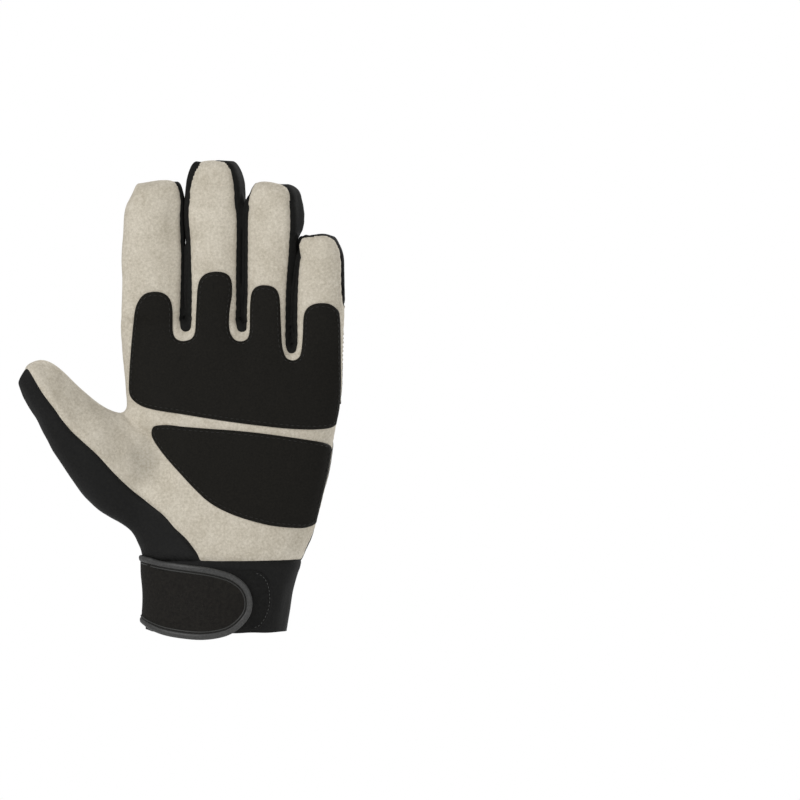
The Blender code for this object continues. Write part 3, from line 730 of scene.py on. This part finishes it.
# folds: side (-1 palm, 1 back), points across and up in mm, half width in mm, depth in mm (below 0 is a crease)
folds = [
    (-1, [(-48, 112.5), (-43, 107), (-38, 102.5), (-33.5, 97)], 1.5, -1.6),
    (-1, [(-37, 108), (-29, 98), (-26, 86), (-30, 72)], 7.0, -2.6),
    (-1, [(-60, 116), (-50, 102), (-44, 86), (-40, 74)], 8.0, 1.5),
    (-1, [(-88, 136), (-84, 131)], 1.6, -0.4),
    (1, [(-42, 91.3), (-20, 91.9), (5, 94.6), (35, 97.6), (64, 98.6)], 1.6, -2.2),
    (1, [(-44, 87.5), (-18, 87), (8, 89.6), (36, 92.4), (64, 94)], 3.4, 1.8),
    (1, [(60, 84), (45, 80.5), (29, 70), (8, 57), (-20, 46.5)], 6.5, 2.6),
    (1, [(50, 90), (36, 86), (19, 79), (-6, 69), (-26, 61)], 5.0, -2.0),
    (1, [(56, 66), (44, 57), (30, 49.5), (14, 43)], 4.5, -2.1),
    (1, [(56, 50), (46, 45), (36, 40)], 3.5, 1.5),
    (1, [(-36, 76), (-26, 71), (-12, 68)], 4.5, 1.3),
    (1, [(-36, 52), (-22, 44), (-4, 39)], 3.5, -1.1),
    (1, [(-34, 38), (0, 37), (40, 37)], 1.6, 0.5),
    (1, [(52, 112), (60, 106), (66, 104)], 3.5, -1.6),
    (1, [(-92, 134), (-86, 127)], 1.4, -0.35),
    (1, [(-88, 137), (-81, 130)], 1.4, -0.35),
    (1, [(-82, 136), (-76, 128)], 1.5, -0.3),
    (1, [(-52, 112), (-46, 104), (-44, 96)], 3.0, -0.9),
]
# raised welts round the lower ends of the finger slots on the back: middle across, lowest point, top
for across, lowest, top in ((-16.0, 146.0, 178), (12.8, 147.0, 178), (37.7, 135.5, 170)):
    folds.append((1, [(across - 3.7, top), (across - 3.7, lowest + 6), (across - 2.6, lowest + 3),
                      (across, lowest + 1.6), (across + 2.6, lowest + 3), (across + 3.7, lowest + 6),
                      (across + 3.7, top)], 1.5, 1.7))
    folds.append((1, [(across, lowest + 5), (across, top)], 1.6, -1.6))


def nearOnLine(points, line):
    # distance of flat points to a polyline, and how far along it they are, 0 to 1
    line = np.array(line, float) * mm
    lengths = np.linalg.norm(np.diff(line, axis=0), axis=1)
    best = np.full(len(points), 1.0)
    along = np.zeros(len(points))
    gone = 0.0
    for a, b, length in zip(line[:-1], line[1:], lengths):
        share = np.clip((points - a) @ (b - a) / length**2, 0, 1)
        distance = np.linalg.norm(points - (a + share[:, None] * (b - a)), axis=1)
        nearer = distance < best
        best[nearer] = distance[nearer]
        along[nearer] = (gone + share * length)[nearer] / lengths.sum()
        gone += length
    return best, along


def waves(points, size, seed):
    # smooth unevenness between -1 and 1, from a few crossing waves of about this size
    draw = random.Random(seed)
    total = np.zeros(len(points))
    for k in range(7):
        direction = np.array([draw.gauss(0, 1) for j in range(3)])
        direction /= np.linalg.norm(direction)
        total += np.sin(points @ direction * 2 * math.pi / (size * draw.uniform(0.7, 1.5)) + draw.uniform(0, 6.3))
    return total / 7 * 1.8


seamTree = treeOf([skinVerts[i] for i in seamPoints], list(seamPoints))


def shapePanel(piece, name):
    verts, normals = pointsOf(piece), normalsOf(piece)
    lift = np.zeros(len(verts))
    for k, point in enumerate(verts):
        place, i, distance = seamTree.find(point)
        sharing = seamPoints[i]
        # where three panels meet, the first of the others by name counts, so that each run gives the same shape
        other = min(sharing - {name}) if name in sharing and len(sharing) > 1 else None
        spot, tip, gap = tipHold.find((point[0], 0, point[2]))
        calm = min(max(gap / (tips[tip][2] * 0.8 * mm) - 0.35, 0.15), 1)
        ripple = math.sin(point[0] * seamSettings["puckerAcross"] + point[2] * seamSettings["puckerUp"])
        pucker = seamSettings["pucker"] * calm * ripple * fadeFrom(distance, seamSettings["puckerWidth"])
        if (name, other) in raisedOver:
            lift[k] += calm * seamSettings["step"] * fadeFrom(distance, seamSettings["stepWidth"]) + 0.4 * pucker
        elif (other, name) in raisedOver:
            lift[k] += 0.3 * pucker
        else:
            lift[k] -= calm * seamSettings["groove"] * fadeFrom(distance, seamSettings["grooveWidth"])
            fromPuff = distance - seamSettings["puffAt"]
            lift[k] += calm * seamSettings["puff"] * fadeFrom(fromPuff, seamSettings["puffWidth"]) + pucker
    flat = verts[:, [0, 2]]
    for side, line, width, depth in folds:
        distance, along = nearOnLine(flat, line)
        facing = np.clip(normals[:, 1] * side * 1.5, 0, 1)
        fade = np.clip(np.sin(np.clip(along, 0, 1) * math.pi) * 1.6 + 0.15, 0, 1)
        lift += depth * mm * np.exp(-((distance / (width * mm)) ** 2)) * facing * fade
    soft = 1.5 if name in ("back_sleeve", "back_yoke") else 1.0
    lift += soft * (0.25 * mm * waves(verts, 22 * mm, 3) + 0.1 * mm * waves(verts, 8 * mm, 5))
    setPoints(piece, verts + normals * lift[:, None])


wallSettings = {"thickness": 1.2 * mm, "liningShare": 0.72}
slotSettings = {"closed": 2.6 * mm, "open": 4.0 * mm, "left": 0.05 * mm, "openAbove": 197 * mm}


def wholeSurface():
    points, faces = [], []
    for piece in panels.values():
        base = len(points)
        points += [Vector(p) for p in pointsOf(piece)]
        faces += [tuple(base + i for i in f.vertices) for f in piece.data.polygons]
    return BVHTree.FromPolygons(points, faces)


def closeSlot(piece):
    # neighbouring fingers press together, so the knit between them bulges until it meets
    verts, normals = pointsOf(piece), normalsOf(piece)
    moved = verts.copy()
    for k, point in enumerate(verts):
        if point[2] > slotSettings["openAbove"] and point[0] < 0:
            continue
        start = Vector(point) + Vector(normals[k]) * 0.05 * mm
        hit, normal, face, distance = surface.ray_cast(start, Vector(normals[k]), slotSettings["open"])
        if hit is None:
            continue
        share = min(max((slotSettings["open"] - distance) / (slotSettings["open"] - slotSettings["closed"]), 0), 1)
        moved[k] += normals[k] * max(distance / 2 - slotSettings["left"], 0) * share
    setPoints(piece, moved)


for name, piece in panels.items():
    shapePanel(piece, name)
surface = wholeSurface()
for name in fourchettes:
    closeSlot(panels[name])
surface = wholeSurface()
print("panels shaped")
# each panel's flat cloth: width and length in m, and its area in square m
flatOf = {
    "palm_panel": (0.215, 0.262, 0.0283), "thumb_gusset": (0.024, 0.072, 0.00113),
    "fourchette_index_middle": (0.030, 0.190, 0.0024), "fourchette_middle_ring": (0.030, 0.200, 0.0026),
    "fourchette_ring_little": (0.030, 0.180, 0.0022), "index_back_insert": (0.031, 0.034, 0.00094),
    "middle_back_insert": (0.026, 0.036, 0.00075), "ring_back_insert": (0.024, 0.034, 0.0006),
    "little_back": (0.028, 0.055, 0.00125), "knuckle_strip_middle": (0.024, 0.016, 0.00033),
    "knuckle_strip_ring": (0.022, 0.016, 0.0003), "knuckle_strip_little": (0.027, 0.018, 0.0004),
    "back_yoke": (0.112, 0.048, 0.0037), "back_band": (0.108, 0.036, 0.0028),
    "back_sleeve": (0.170, 0.120, 0.0104), "cuff": (0.208, 0.036, 0.0070),
}
for name, piece in panels.items():
    wallOf = piece.modifiers.new("wall", "SOLIDIFY")
    wallOf.thickness = wallSettings["thickness"]
    wallOf.offset = -1
    wallOf.use_even_offset = False
    if name == "palm_panel":
        # the lining side can be coarser than the suede that shows
        piece.vertex_groups.new(name="lining")
        wallOf.shell_vertex_group = "lining"
        thin = piece.modifiers.new("thin", "DECIMATE")
        thin.vertex_group = "lining"
        thin.ratio = wallSettings["liningShare"]
    applyModifiers(piece)
    bpy.ops.object.shade_smooth_by_angle(angle=math.radians(50))
    width, length, area = flatOf[name]
    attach(piece, "root")
    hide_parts(name)
    if name == "palm_panel":
        print("palm triangles:", sum(len(f.vertices) - 2 for f in piece.data.polygons))
print("walls made")


# the pads, the strap and the loop patch are laid on the finished panels
rayStart = -0.2
limitSettings = {"from": 50 * mm, "to": 72 * mm, "step": 0.1 * mm, "facing": -0.38, "turns": 12}


def onFront(x, z, lift=0.0):
    hit, normal, face, distance = surface.ray_cast(Vector((x, rayStart, z)), Vector((0, 1, 0)))
    if hit is None:
        hit, normal, face, distance = surface.find_nearest(Vector((x, -0.01, z)))
    if normal.y > 0:
        normal = -normal
    return hit + normal * lift, normal


def frontLimit(levels):
    # how far across the front reaches on the little finger's side before it turns away, at each height
    limits = []
    for z in levels:
        x = limitSettings["from"]
        while x < limitSettings["to"]:
            hit, normal, face, distance = surface.ray_cast(Vector((x, rayStart, z)), Vector((0, 1, 0)))
            if hit is None or normal.y > limitSettings["facing"]:
                break
            x += limitSettings["step"]
        limits.append(x - limitSettings["step"])
    return evenOut(np.array(limits), limitSettings["turns"])


def smoothLoop(loop, step):
    # a closed loop through the same points with even spacing
    count = len(loop)
    fine = []
    for k in range(count):
        fine += curved(*(loop[(k + d) % count] for d in (-1, 0, 1, 2)), 12)
    closed = np.array(fine + fine[:1])
    along = lengthsAlong(closed)
    return spread(closed, along, np.linspace(0, along[-1], int(along[-1] / step), endpoint=False))


def layPad(name, nodeName, outline, settings, stuff):
    # a flat pad: rings along its edge and an even grid inside, laid on the glove by rays
    border = smoothLoop(np.array(outline) * mm, settings["edgeStep"])
    area = np.sum(border[:, 0] * np.roll(border[:, 1], -1) - np.roll(border[:, 0], -1) * border[:, 1])
    if area < 0:
        border = border[::-1]
    # the edge stays on the side that rays from the front still meet well
    levels = np.arange(border[:, 1].min() - 1 * mm, border[:, 1].max() + 1 * mm, 1 * mm)
    border[:, 0] = np.minimum(border[:, 0], np.interp(border[:, 1], levels, frontLimit(levels)))
    points = [tuple(p) for p in border]
    low, high = border.min(axis=0), border.max(axis=0)
    step = settings["grid"]
    edge = treeOf([(x, z, 0) for x, z in border])
    for inset in settings["rings"]:
        for p in insetOf(border, inset):
            if edge.find((p[0], p[1], 0))[2] > inset * 0.93:
                points.append(tuple(p))
    last = settings["rings"][-1] + step * 0.6
    rows = np.arange(low[1], high[1], step * 0.87)
    for r, z in enumerate(rows):
        for x in np.arange(low[0] + (r % 2) * step / 2, high[0], step):
            if edge.find((x, z, 0))[2] > last:
                points.append((x, z))
    loopEdges = [(k, (k + 1) % len(border)) for k in range(len(border))]
    made, edges, faces = delaunay_2d_cdt([Vector(p) for p in points], loopEdges, [], 1, 1e-7)[:3]
    rise = settings["height"] - settings["edgeHeight"]
    verts = []
    for p in made:
        distance = edge.find((p[0], p[1], 0))[2]
        share = min(distance / settings["shoulder"], 1.0)
        height = settings["edgeHeight"] + rise * math.sin(share * math.pi / 2) ** 0.8
        verts.append(onFront(p[0], p[1], height)[0])
    faces = [tuple(f) if facing(made, f) > 0 else tuple(reversed(f)) for f in faces]
    pad = meshObject(name, verts, faces)
    pad.data.materials.append(stuff)
    editWhole(pad, bpy.ops.mesh.tris_convert_to_quads, face_threshold=math.radians(40),
              shape_threshold=math.radians(60))
    under = pad.modifiers.new("under", "SOLIDIFY")
    under.thickness = settings["edgeHeight"]
    under.offset = -1
    applyModifiers(pad)
    bpy.ops.object.shade_smooth_by_angle(angle=math.radians(60))
    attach(pad, "root")
    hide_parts(nodeName)
    print("laid", name, len(pad.data.polygons))
    return pad, border


def facing(points, face):
    a, b, c = (points[i] for i in face[:3])
    return (b[0] - a[0]) * (c[1] - a[1]) - (b[1] - a[1]) * (c[0] - a[0])


# outlines across and up in mm, read off the photograph
upperOutline = [
    (-44.4, 124.8), (-44, 135.4), (-43.2, 146.8), (-42.1, 158.1), (-40.9, 165.2), (-39, 169.4), (-36.2, 172.3),
    (-31.9, 173.4), (-27.6, 172.9), (-24.8, 171.1), (-23.1, 168.1), (-22.4, 163.8), (-22.3, 158.1), (-22.1, 153.2),
    (-20.9, 150), (-18.5, 148.5), (-15.6, 148.4), (-12.4, 149.7), (-10.7, 153.2), (-10.3, 160.9), (-9.8, 169.4),
    (-9.4, 175.1), (-8.3, 179.3), (-5.7, 182.2), (-1.4, 183.5), (3.4, 183.2), (6.4, 181.4), (7.7, 177.9),
    (7.8, 172.3), (7, 166.6), (6.4, 160.9), (6.5, 155.2), (7.6, 151.2), (10, 148.6), (13.3, 148.2), (15.9, 149.7),
    (17, 153.2), (17.2, 160.9), (17.4, 168), (18.1, 172.7), (19.9, 175.5), (23.4, 176.7), (28.2, 176.1),
    (30.9, 173.8), (32.1, 169.4), (32.5, 160.9), (33, 149.6), (33.7, 143.9), (35.4, 139.9), (38.2, 138.5),
    (41, 139.1), (42.9, 141.8), (43.9, 149.6), (44.3, 159.5), (45.4, 163.8), (48.2, 166.5), (52.4, 167.6),
    (57.2, 167.2), (60.6, 165), (62.3, 161.8), (62.8, 149.6), (63, 132.6), (62.9, 123.5), (62.2, 113.3),
    (61.4, 107.7), (59.2, 105), (55.1, 103.8), (47.4, 103.4), (34.7, 104), (21.9, 105.4), (9.2, 107),
    (-3.6, 108.9), (-16.3, 111), (-29.1, 113), (-36.7, 114.9), (-41.2, 117.4), (-43.7, 120.5),
]
lowerOutline = [
    (-32.5, 103.7), (-30.4, 105.4), (-24, 105.7), (-16.3, 104.8), (-3.6, 103.8), (9.2, 102.9), (21.9, 101.6),
    (34.7, 99.9), (47.4, 98), (54.8, 96.6), (57.9, 94.7), (58.6, 90.4), (57.5, 84), (55.6, 76.3), (53.7, 67.4),
    (52.1, 60.3), (50.4, 56), (46.6, 54), (41.1, 53.4), (28.3, 54.7), (15.6, 57.9), (5.4, 61.7), (-3.6, 66.8),
    (-11.2, 73.8), (-18.9, 82.1), (-25.2, 89.1), (-30.2, 95.5), (-32.5, 100.1),
]
padSettings = {"edgeStep": 0.9 * mm, "rings": [0.35 * mm, 0.8 * mm, 1.5 * mm], "grid": 1.8 * mm,
               "shoulder": 1.6 * mm, "edgeHeight": 0.45 * mm, "height": 1.4 * mm}
padLines = {}
for name, node, outline in (("palmPadUpper", "palm_pad_upper", upperOutline),
                            ("palmPadLower", "palm_pad_lower", lowerOutline)):
    pad, padLines[name] = layPad(name, node, outline, padSettings, padLeather)


stitchSettings = {"length": 2.1 * mm, "gap": 0.9 * mm, "radius": 0.21 * mm}


def stitchShape():
    # one stitch: a short thread that dips into the cloth at both ends
    bpy.ops.mesh.primitive_uv_sphere_add(segments=6, ring_count=5, radius=1)
    shape = bpy.context.object
    verts = [v.co.copy() for v in shape.data.vertices]
    faces = [tuple(f.vertices) for f in shape.data.polygons]
    bpy.data.objects.remove(shape)
    return verts, faces


stitchVerts, stitchFaces = stitchShape()


def evenly(points, step):
    # the same line with points at even steps
    along = lengthsAlong(points)
    return spread(points, along, np.arange(step / 2, along[-1], step))


def sewRow(name, lines, thread, clothSlot, lift=0.0, **changes):
    # a row of stitches along each line, laid on the finished surface
    size = dict(stitchSettings, **changes)
    verts, faces = [], []
    pitch = size["length"] + size["gap"]
    for line in lines:
        line = np.array(line)
        if len(line) < 2:
            continue
        fine = evenly(line, pitch / 2)
        for k in range(0, len(fine) - 1, 2):
            ends = [surface.find_nearest(Vector(point)) for point in (fine[k], fine[k + 1])]
            middle = (ends[0][0] + ends[1][0]) / 2
            along = (ends[1][0] - ends[0][0]).normalized()
            normal = (ends[0][1] + ends[1][1]).normalized()
            side = along.cross(normal).normalized()
            base = len(verts)
            for v in stitchVerts:
                bow = (1 - abs(v.x) ** 2) * 0.6 * size["radius"]
                verts.append(middle + along * v.x * size["length"] / 2 + side * v.y * size["radius"]
                             + normal * (v.z * size["radius"] * 0.8 + bow + lift))
            faces += [tuple(base + i for i in f) for f in stitchFaces]
    row = meshObject(name, verts, faces)
    editWhole(row, bpy.ops.mesh.normals_make_consistent, inside=False)
    bpy.ops.object.shade_smooth()
    row.data.materials.append(thread)
    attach(row, "root")
    return row


def alongSeam(first, second, inset, keep=lambda p: True):
    # lines inside the first panel, at this distance from its seam with the second
    found = []
    for run in seams.get(tuple(sorted((first, second))), []):
        line = [skinVerts[i] - outWays[(first, i)] * inset for i in run if keep(skinVerts[i])]
        if len(line) > 3:
            found.append(evenOut(np.array(line), 6))
    return found


print("sewing")
fine = {"length": 1.5 * mm, "gap": 0.7 * mm}
for name in ("index_back_insert", "middle_back_insert", "ring_back_insert"):
    sewRow("capStitches_" + name, alongSeam("palm_panel", name, 1.5 * mm), beigeThread, "suede", **fine)
for strip, above in (("knuckle_strip_middle", "middle_back_insert"), ("knuckle_strip_ring", "ring_back_insert"),
                     ("knuckle_strip_little", "little_back")):
    lines = alongSeam(strip, above, 1.5 * mm) + alongSeam(strip, "back_yoke", 1.5 * mm)
    sewRow("stripStitches_" + strip, lines, beigeThread, "suede", **fine)
sewRow("indexBaseStitches", alongSeam("palm_panel", "back_yoke", 1.6 * mm), beigeThread, "suede", **fine)
gussetLines = alongSeam("thumb_gusset", "palm_panel", 1.6 * mm) + alongSeam("palm_panel", "thumb_gusset", 1.6 * mm)
gussetLines += alongSeam("thumb_gusset", "back_sleeve", 1.5 * mm) + alongSeam("thumb_gusset", "back_sleeve", 3.2 * mm)
sewRow("thumbGussetStitches", gussetLines, beigeThread, "suede", length=1.7 * mm, gap=0.8 * mm)
sewRow("yokeStitches", alongSeam("back_yoke", "back_band", 1.4 * mm), greyThread, "stretch_fabric",
       length=1.6 * mm, gap=0.8 * mm)
sewRow("bandStitches", alongSeam("back_band", "back_sleeve", 1.2 * mm), blackThread, "band_fabric",
       length=1.8 * mm, gap=0.9 * mm)
sewRow("cuffStitches", alongSeam("cuff", "back_sleeve", 0.6 * mm, lambda p: p[1] > -2 * mm), greyThread, "knit_fabric",
       length=2.0 * mm, gap=0.7 * mm)
print("stitches made")


# the strap's bound edge as the photograph shows it, across and up in mm, from the sewn end round the tip and back
strapEdge = [
    (-39.5, 40.2), (-37.6, 39.7), (-32, 38.2), (-26.2, 36.8), (-17.7, 35.6), (-9.2, 34.5), (-3.5, 33.7),
    (2.1, 32.4), (8.8, 30.2), (14.9, 25.2), (17.5, 19.7), (18, 14.8), (17.2, 10.6), (14.6, 6.4), (10.6, 2.3),
    (5.5, -0.7), (-1.3, -2.3), (-9.2, -2.7), (-20.6, -1.5), (-28, 0.2), (-34, 2.9), (-37.2, 5.1), (-39.0, 6.4),
]
strapSettings = {"rows": 14, "steps": 60, "lowest": 1.4 * mm, "highest": 30 * mm, "thickness": 1.5 * mm,
                 "tapeWidth": 3.2 * mm, "tapeHeight": 2.5 * mm, "inset": 1.5 * mm,
                 "wrapFrom": math.radians(168), "wrapTo": math.radians(200), "wrapSteps": 9}
# how far the strap stands off the cuff: across in mm, off the cuff in mm. It climbs over the loop patch.
strapRise = [(-38, 0.15), (-33, 0.5), (-27, 0.9), (-19, 1.3), (-11, 1.9), (-4, 2.2), (20, 2.2)]


def strapLift(x):
    return float(np.interp(x / mm, [p[0] for p in strapRise], [p[1] for p in strapRise])) * mm


def curveThrough(points, step):
    # an open line through the points with even spacing
    ends = [2 * points[0] - points[1]] + list(points) + [2 * points[-1] - points[-2]]
    fine = []
    for corners in zip(ends, ends[1:], ends[2:], ends[3:]):
        fine += curved(*corners, 16)
    fine = np.array(fine + [points[-1]])
    along = lengthsAlong(fine)
    return spread(fine, along, np.linspace(0, along[-1], int(along[-1] / step)))


edgeLine = curveThrough(np.array(strapEdge) * mm, 0.5 * mm)
tangent = np.gradient(edgeLine, axis=0)
inward = np.column_stack([tangent[:, 1], -tangent[:, 0]])
inward /= np.linalg.norm(inward, axis=1)[:, None]
edgeLine = edgeLine + inward * strapSettings["inset"]
tip = int(np.argmax(edgeLine[:, 0]))
upperEdge, lowerEdge = edgeLine[:tip + 1], edgeLine[tip:][::-1]
tipAcross = edgeLine[tip, 0]


def strapSpan(x):
    # top and bottom edge of the strap at this place across
    return tuple(float(np.interp(x, edge[:, 0], edge[:, 1])) for edge in (upperEdge, lowerEdge))


def onCuff(x, z, lift):
    # a point over the cuff's front; below its edge the cuff's own depth is kept
    point, normal = onFront(x, max(z, strapSettings["lowest"]))
    point = point + normal * lift
    return Vector((point.x, point.y, z)), normal


def onCuffSide(angle, z, lift):
    # the same, at an angle round the wrist
    way = Vector((math.cos(angle), math.sin(angle), 0))
    height = min(max(z, strapSettings["lowest"]), strapSettings["highest"])
    start = Vector((1.4 * mm, 0, height)) + way * 0.12
    point, normal, face, distance = surface.ray_cast(start, -way)
    if normal.dot(way) < 0:
        normal = -normal
    point = point + normal * lift
    return Vector((point.x, point.y, z)), normal


def strapColumn(put, at, x):
    # the strap's points from its bottom edge to its top edge at this place across
    top, bottom = strapSpan(x)
    return [put(at, bottom + (top - bottom) * j / strapSettings["rows"], strapLift(x) + thick)
            for j in range(strapSettings["rows"] + 1)]


columns = []
thick = strapSettings["thickness"]
for angle in np.linspace(strapSettings["wrapFrom"], strapSettings["wrapTo"], strapSettings["wrapSteps"]):
    columns.append(strapColumn(onCuffSide, angle, onCuffSide(angle, 20 * mm, 0)[0].x))
start = columns[-1][7][0].x + 1.2 * mm
end = tipAcross - 0.15 * mm
for k in range(strapSettings["steps"] + 1):
    # closer together towards the round tip
    x = start + (end - start) * (1 - (1 - k / strapSettings["steps"]) ** 1.7)
    columns.append(strapColumn(onCuff, x, x))
rows = strapSettings["rows"] + 1
strapVerts = [point for column in columns for point, normal in column]
strapFaces = [(a * rows + b, (a + 1) * rows + b, (a + 1) * rows + b + 1, a * rows + b + 1)
              for a in range(len(columns) - 1) for b in range(rows - 1)]
strap = meshObject("cuffStrap", strapVerts, strapFaces)
strap.data.materials.append(strapFabric)
ease = strap.modifiers.new("ease", "SMOOTH")
ease.factor, ease.iterations = 0.5, 5
applyModifiers(strap)
body = strap.modifiers.new("body", "SOLIDIFY")
body.thickness, body.offset = thick, -1
applyModifiers(strap)
bpy.ops.object.shade_smooth_by_angle(angle=math.radians(50))
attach(strap, "root")
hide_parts("cuff_strap")


def sweepTape(name, path, normals, section, stuff):
    # a closed section (across, out) swept along a path on the surface
    verts, faces = [], []
    sides = len(section)
    for k, point in enumerate(path):
        along = Vector(path[min(k + 1, len(path) - 1)] - path[max(k - 1, 0)]).normalized()
        out = Vector(normals[k]).normalized()
        out = (out - along * out.dot(along)).normalized()
        side = along.cross(out)
        verts += [Vector(point) + side * a + out * b for a, b in section]
    for k in range(len(path) - 1):
        for j in range(sides):
            a, b = k * sides + j, k * sides + (j + 1) % sides
            faces.append((a, b, b + sides, a + sides))
    faces.append(tuple(reversed(range(sides))))
    faces.append(tuple(range((len(path) - 1) * sides, len(path) * sides)))
    made = meshObject(name, verts, faces)
    made.data.materials.append(stuff)
    editWhole(made, bpy.ops.mesh.normals_make_consistent, inside=False)
    bpy.ops.object.shade_smooth_by_angle(angle=math.radians(60))
    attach(made, "root")
    return made


def ovalSection(width, height, centre, out, power, count):
    # a flattened oval: width across, height out of the surface
    section = []
    for k in range(count):
        c, s = math.cos(2 * math.pi * k / count), math.sin(2 * math.pi * k / count)
        section.append((centre + width / 2 * math.copysign(abs(c) ** (2 / power), c),
                        out + height / 2 * math.copysign(abs(s) ** (2 / power), s)))
    return section


# round the strap: along its top, round the tip and back along its bottom
rim = [(column[-1], column[-2]) for column in columns]
rim += [(columns[-1][j], columns[-2][j]) for j in range(rows - 2, 0, -1)]
rim += [(column[0], column[1]) for column in reversed(columns)]
rimPoints = np.array([list(edge[0]) for edge, inner in rim])
rimNormals = np.array([list(edge[1]) for edge, inner in rim])
along = lengthsAlong(rimPoints)
places = np.arange(0, along[-1], 0.9 * mm)
rimPoints, rimNormals = (evenOut(spread(found, along, places), 10) for found in (rimPoints, rimNormals))
# going along the top first, "across" of the section points into the strap
tapeSection = ovalSection(strapSettings["tapeWidth"], strapSettings["tapeHeight"], 0.0, -0.45 * mm, 2.5, 14)
lipSection = ovalSection(0.9 * mm, 0.9 * mm, 2.35 * mm, -0.15 * mm, 2.0, 8)
threadSection = ovalSection(0.3 * mm, 0.5 * mm, 1.72 * mm, 0.0, 2.0, 6)
tape = sweepTape("strapBinding", rimPoints, rimNormals, tapeSection, bindingTape)
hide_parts("strap_piping")
sweepTape("strapBindingLip", rimPoints, rimNormals, lipSection, lipTape)
sweepTape("strapBindingStitch", rimPoints, rimNormals, threadSection, blackThread)

# the loop half of the fastener: a low patch on the cuff, mostly under the strap
patchOutline = [
    (-8, 30.5), (0, 31.5), (10, 32), (18, 32.4), (23, 31.2), (26.4, 27.6), (28, 22), (28.2, 16), (27, 10.5),
    (24.6, 5.6), (21.4, 2.4), (16, 1.8), (8, 1.6), (0, 1.6), (-8, 1.6), (-10, 5), (-10.4, 16), (-10, 27),
]
patchSettings = {"edgeStep": 0.9 * mm, "rings": [0.3 * mm, 0.7 * mm], "grid": 2.0 * mm,
                 "shoulder": 0.8 * mm, "edgeHeight": 0.35 * mm, "height": 0.85 * mm}
loopPatch, patchLine = layPad("loopPatch", "loop_patch", patchOutline, patchSettings, loopPile)
print("strap and patch made")


def rimRow(name, border, inset, thread, height, clothSlot, keep=lambda p: True, **changes):
    # stitches along the inside of a laid piece's border
    ring = insetOf(border, inset)
    for turn in range(3):
        ring = (np.roll(ring, 1, axis=0) + 2 * ring + np.roll(ring, -1, axis=0)) / 4
    kept = [k for k in range(len(ring)) if keep(ring[k])]
    runs = [[]]
    for k in kept:
        if runs[-1] and k != runs[-1][-1] + 1:
            runs.append([])
        runs[-1].append(k)
    if len(kept) == len(ring):
        runs[0].append(0)
    elif len(runs) > 1 and runs[0][0] == 0 and runs[-1][-1] == len(ring) - 1:
        runs[0] = runs.pop() + runs[0]
    lines = [np.array([list(onFront(*ring[k])[0]) for k in run]) for run in runs]
    return sewRow(name, lines, thread, clothSlot, lift=height, **changes)


for name, line in (("padUpperStitches", "palmPadUpper"), ("padLowerStitches", "palmPadLower")):
    rimRow(name, padLines[line], 1.7 * mm, blackThread, 1.36 * mm, "pad_leather", length=2.0 * mm, gap=0.8 * mm)
rimRow("patchStitches", patchLine, 1.4 * mm, greyThread, 0.8 * mm, "loop_fabric", lambda p: p[0] > 18.5 * mm,
       length=1.4 * mm, gap=0.5 * mm)

# floor, light and camera
stageSettings = {"floor": -0.25, "radius": 2.2, "camera": 2.833, "lens": 250, "aim": (0.0933, 0.1184),
                 "lampAim": (0, 0, 0.12), "backdrop": 1.0, "skyLight": 0.38}


def studioMaterial():
    # the studio floor's paint: matt, near white
    made, tree, shader = newMaterial("whiteStudioPaint")
    shader.inputs["Base Color"].default_value = hexColour("#FBFBFA")
    shader.inputs["Roughness"].default_value = 1.0
    shader.inputs["Specular IOR Level"].default_value = 0.0
    return made


bpy.ops.mesh.primitive_circle_add(vertices=64, radius=stageSettings["radius"], fill_type="NGON",
                                  location=(0, 0, stageSettings["floor"]))
floor = bpy.context.object
floor.name = "studioFloor"
floor.data.materials.append(studioMaterial())

for name, place, size, power in (("keyLight", (-1.5, -1.5, 1.5), 1.1, 30), ("fillLight", (1.3, -2.2, 0.4), 1.8, 11),
                                 ("backLight", (1.5, 1.5, 1.5), 1.1, 34)):
    lamp = bpy.data.lights.new(name, "AREA")
    lamp.shape = "DISK"
    lamp.size = size
    lamp.energy = power
    holder = bpy.data.objects.new(name, lamp)
    holder.location = place
    holder.rotation_euler = (Vector(stageSettings["lampAim"]) - Vector(place)).to_track_quat("-Z", "Y").to_euler()
    bpy.context.scene.collection.objects.link(holder)

world = bpy.data.worlds.new("studio")
bpy.context.scene.world = world
world.use_nodes = True
background = world.node_tree.nodes["Background"]
background.inputs["Color"].default_value = (1, 1, 1, 1)
# the backdrop shows white, while its light on the glove stays low enough for the folds to show
seenRay = addNode(world.node_tree, "ShaderNodeLightPath")
sky = stageSettings["skyLight"]
strength = addNode(world.node_tree, "ShaderNodeMath",
                   {0: seenRay.outputs["Is Camera Ray"], 1: stageSettings["backdrop"] - sky, 2: sky},
                   operation="MULTIPLY_ADD")
world.node_tree.links.new(strength.outputs[0], background.inputs["Strength"])

camera = bpy.data.objects.new("camera", bpy.data.cameras.new("camera"))
camera.data.lens = stageSettings["lens"]
camera.data.sensor_width = 36
camera.location = (stageSettings["aim"][0], -stageSettings["camera"], stageSettings["aim"][1])
camera.rotation_euler = (math.radians(90), 0, 0)
camera.data.clip_end = 50
bpy.context.scene.collection.objects.link(camera)
bpy.context.scene.camera = camera
bpy.context.scene.view_settings.view_transform = "Standard"

print("scene complete")
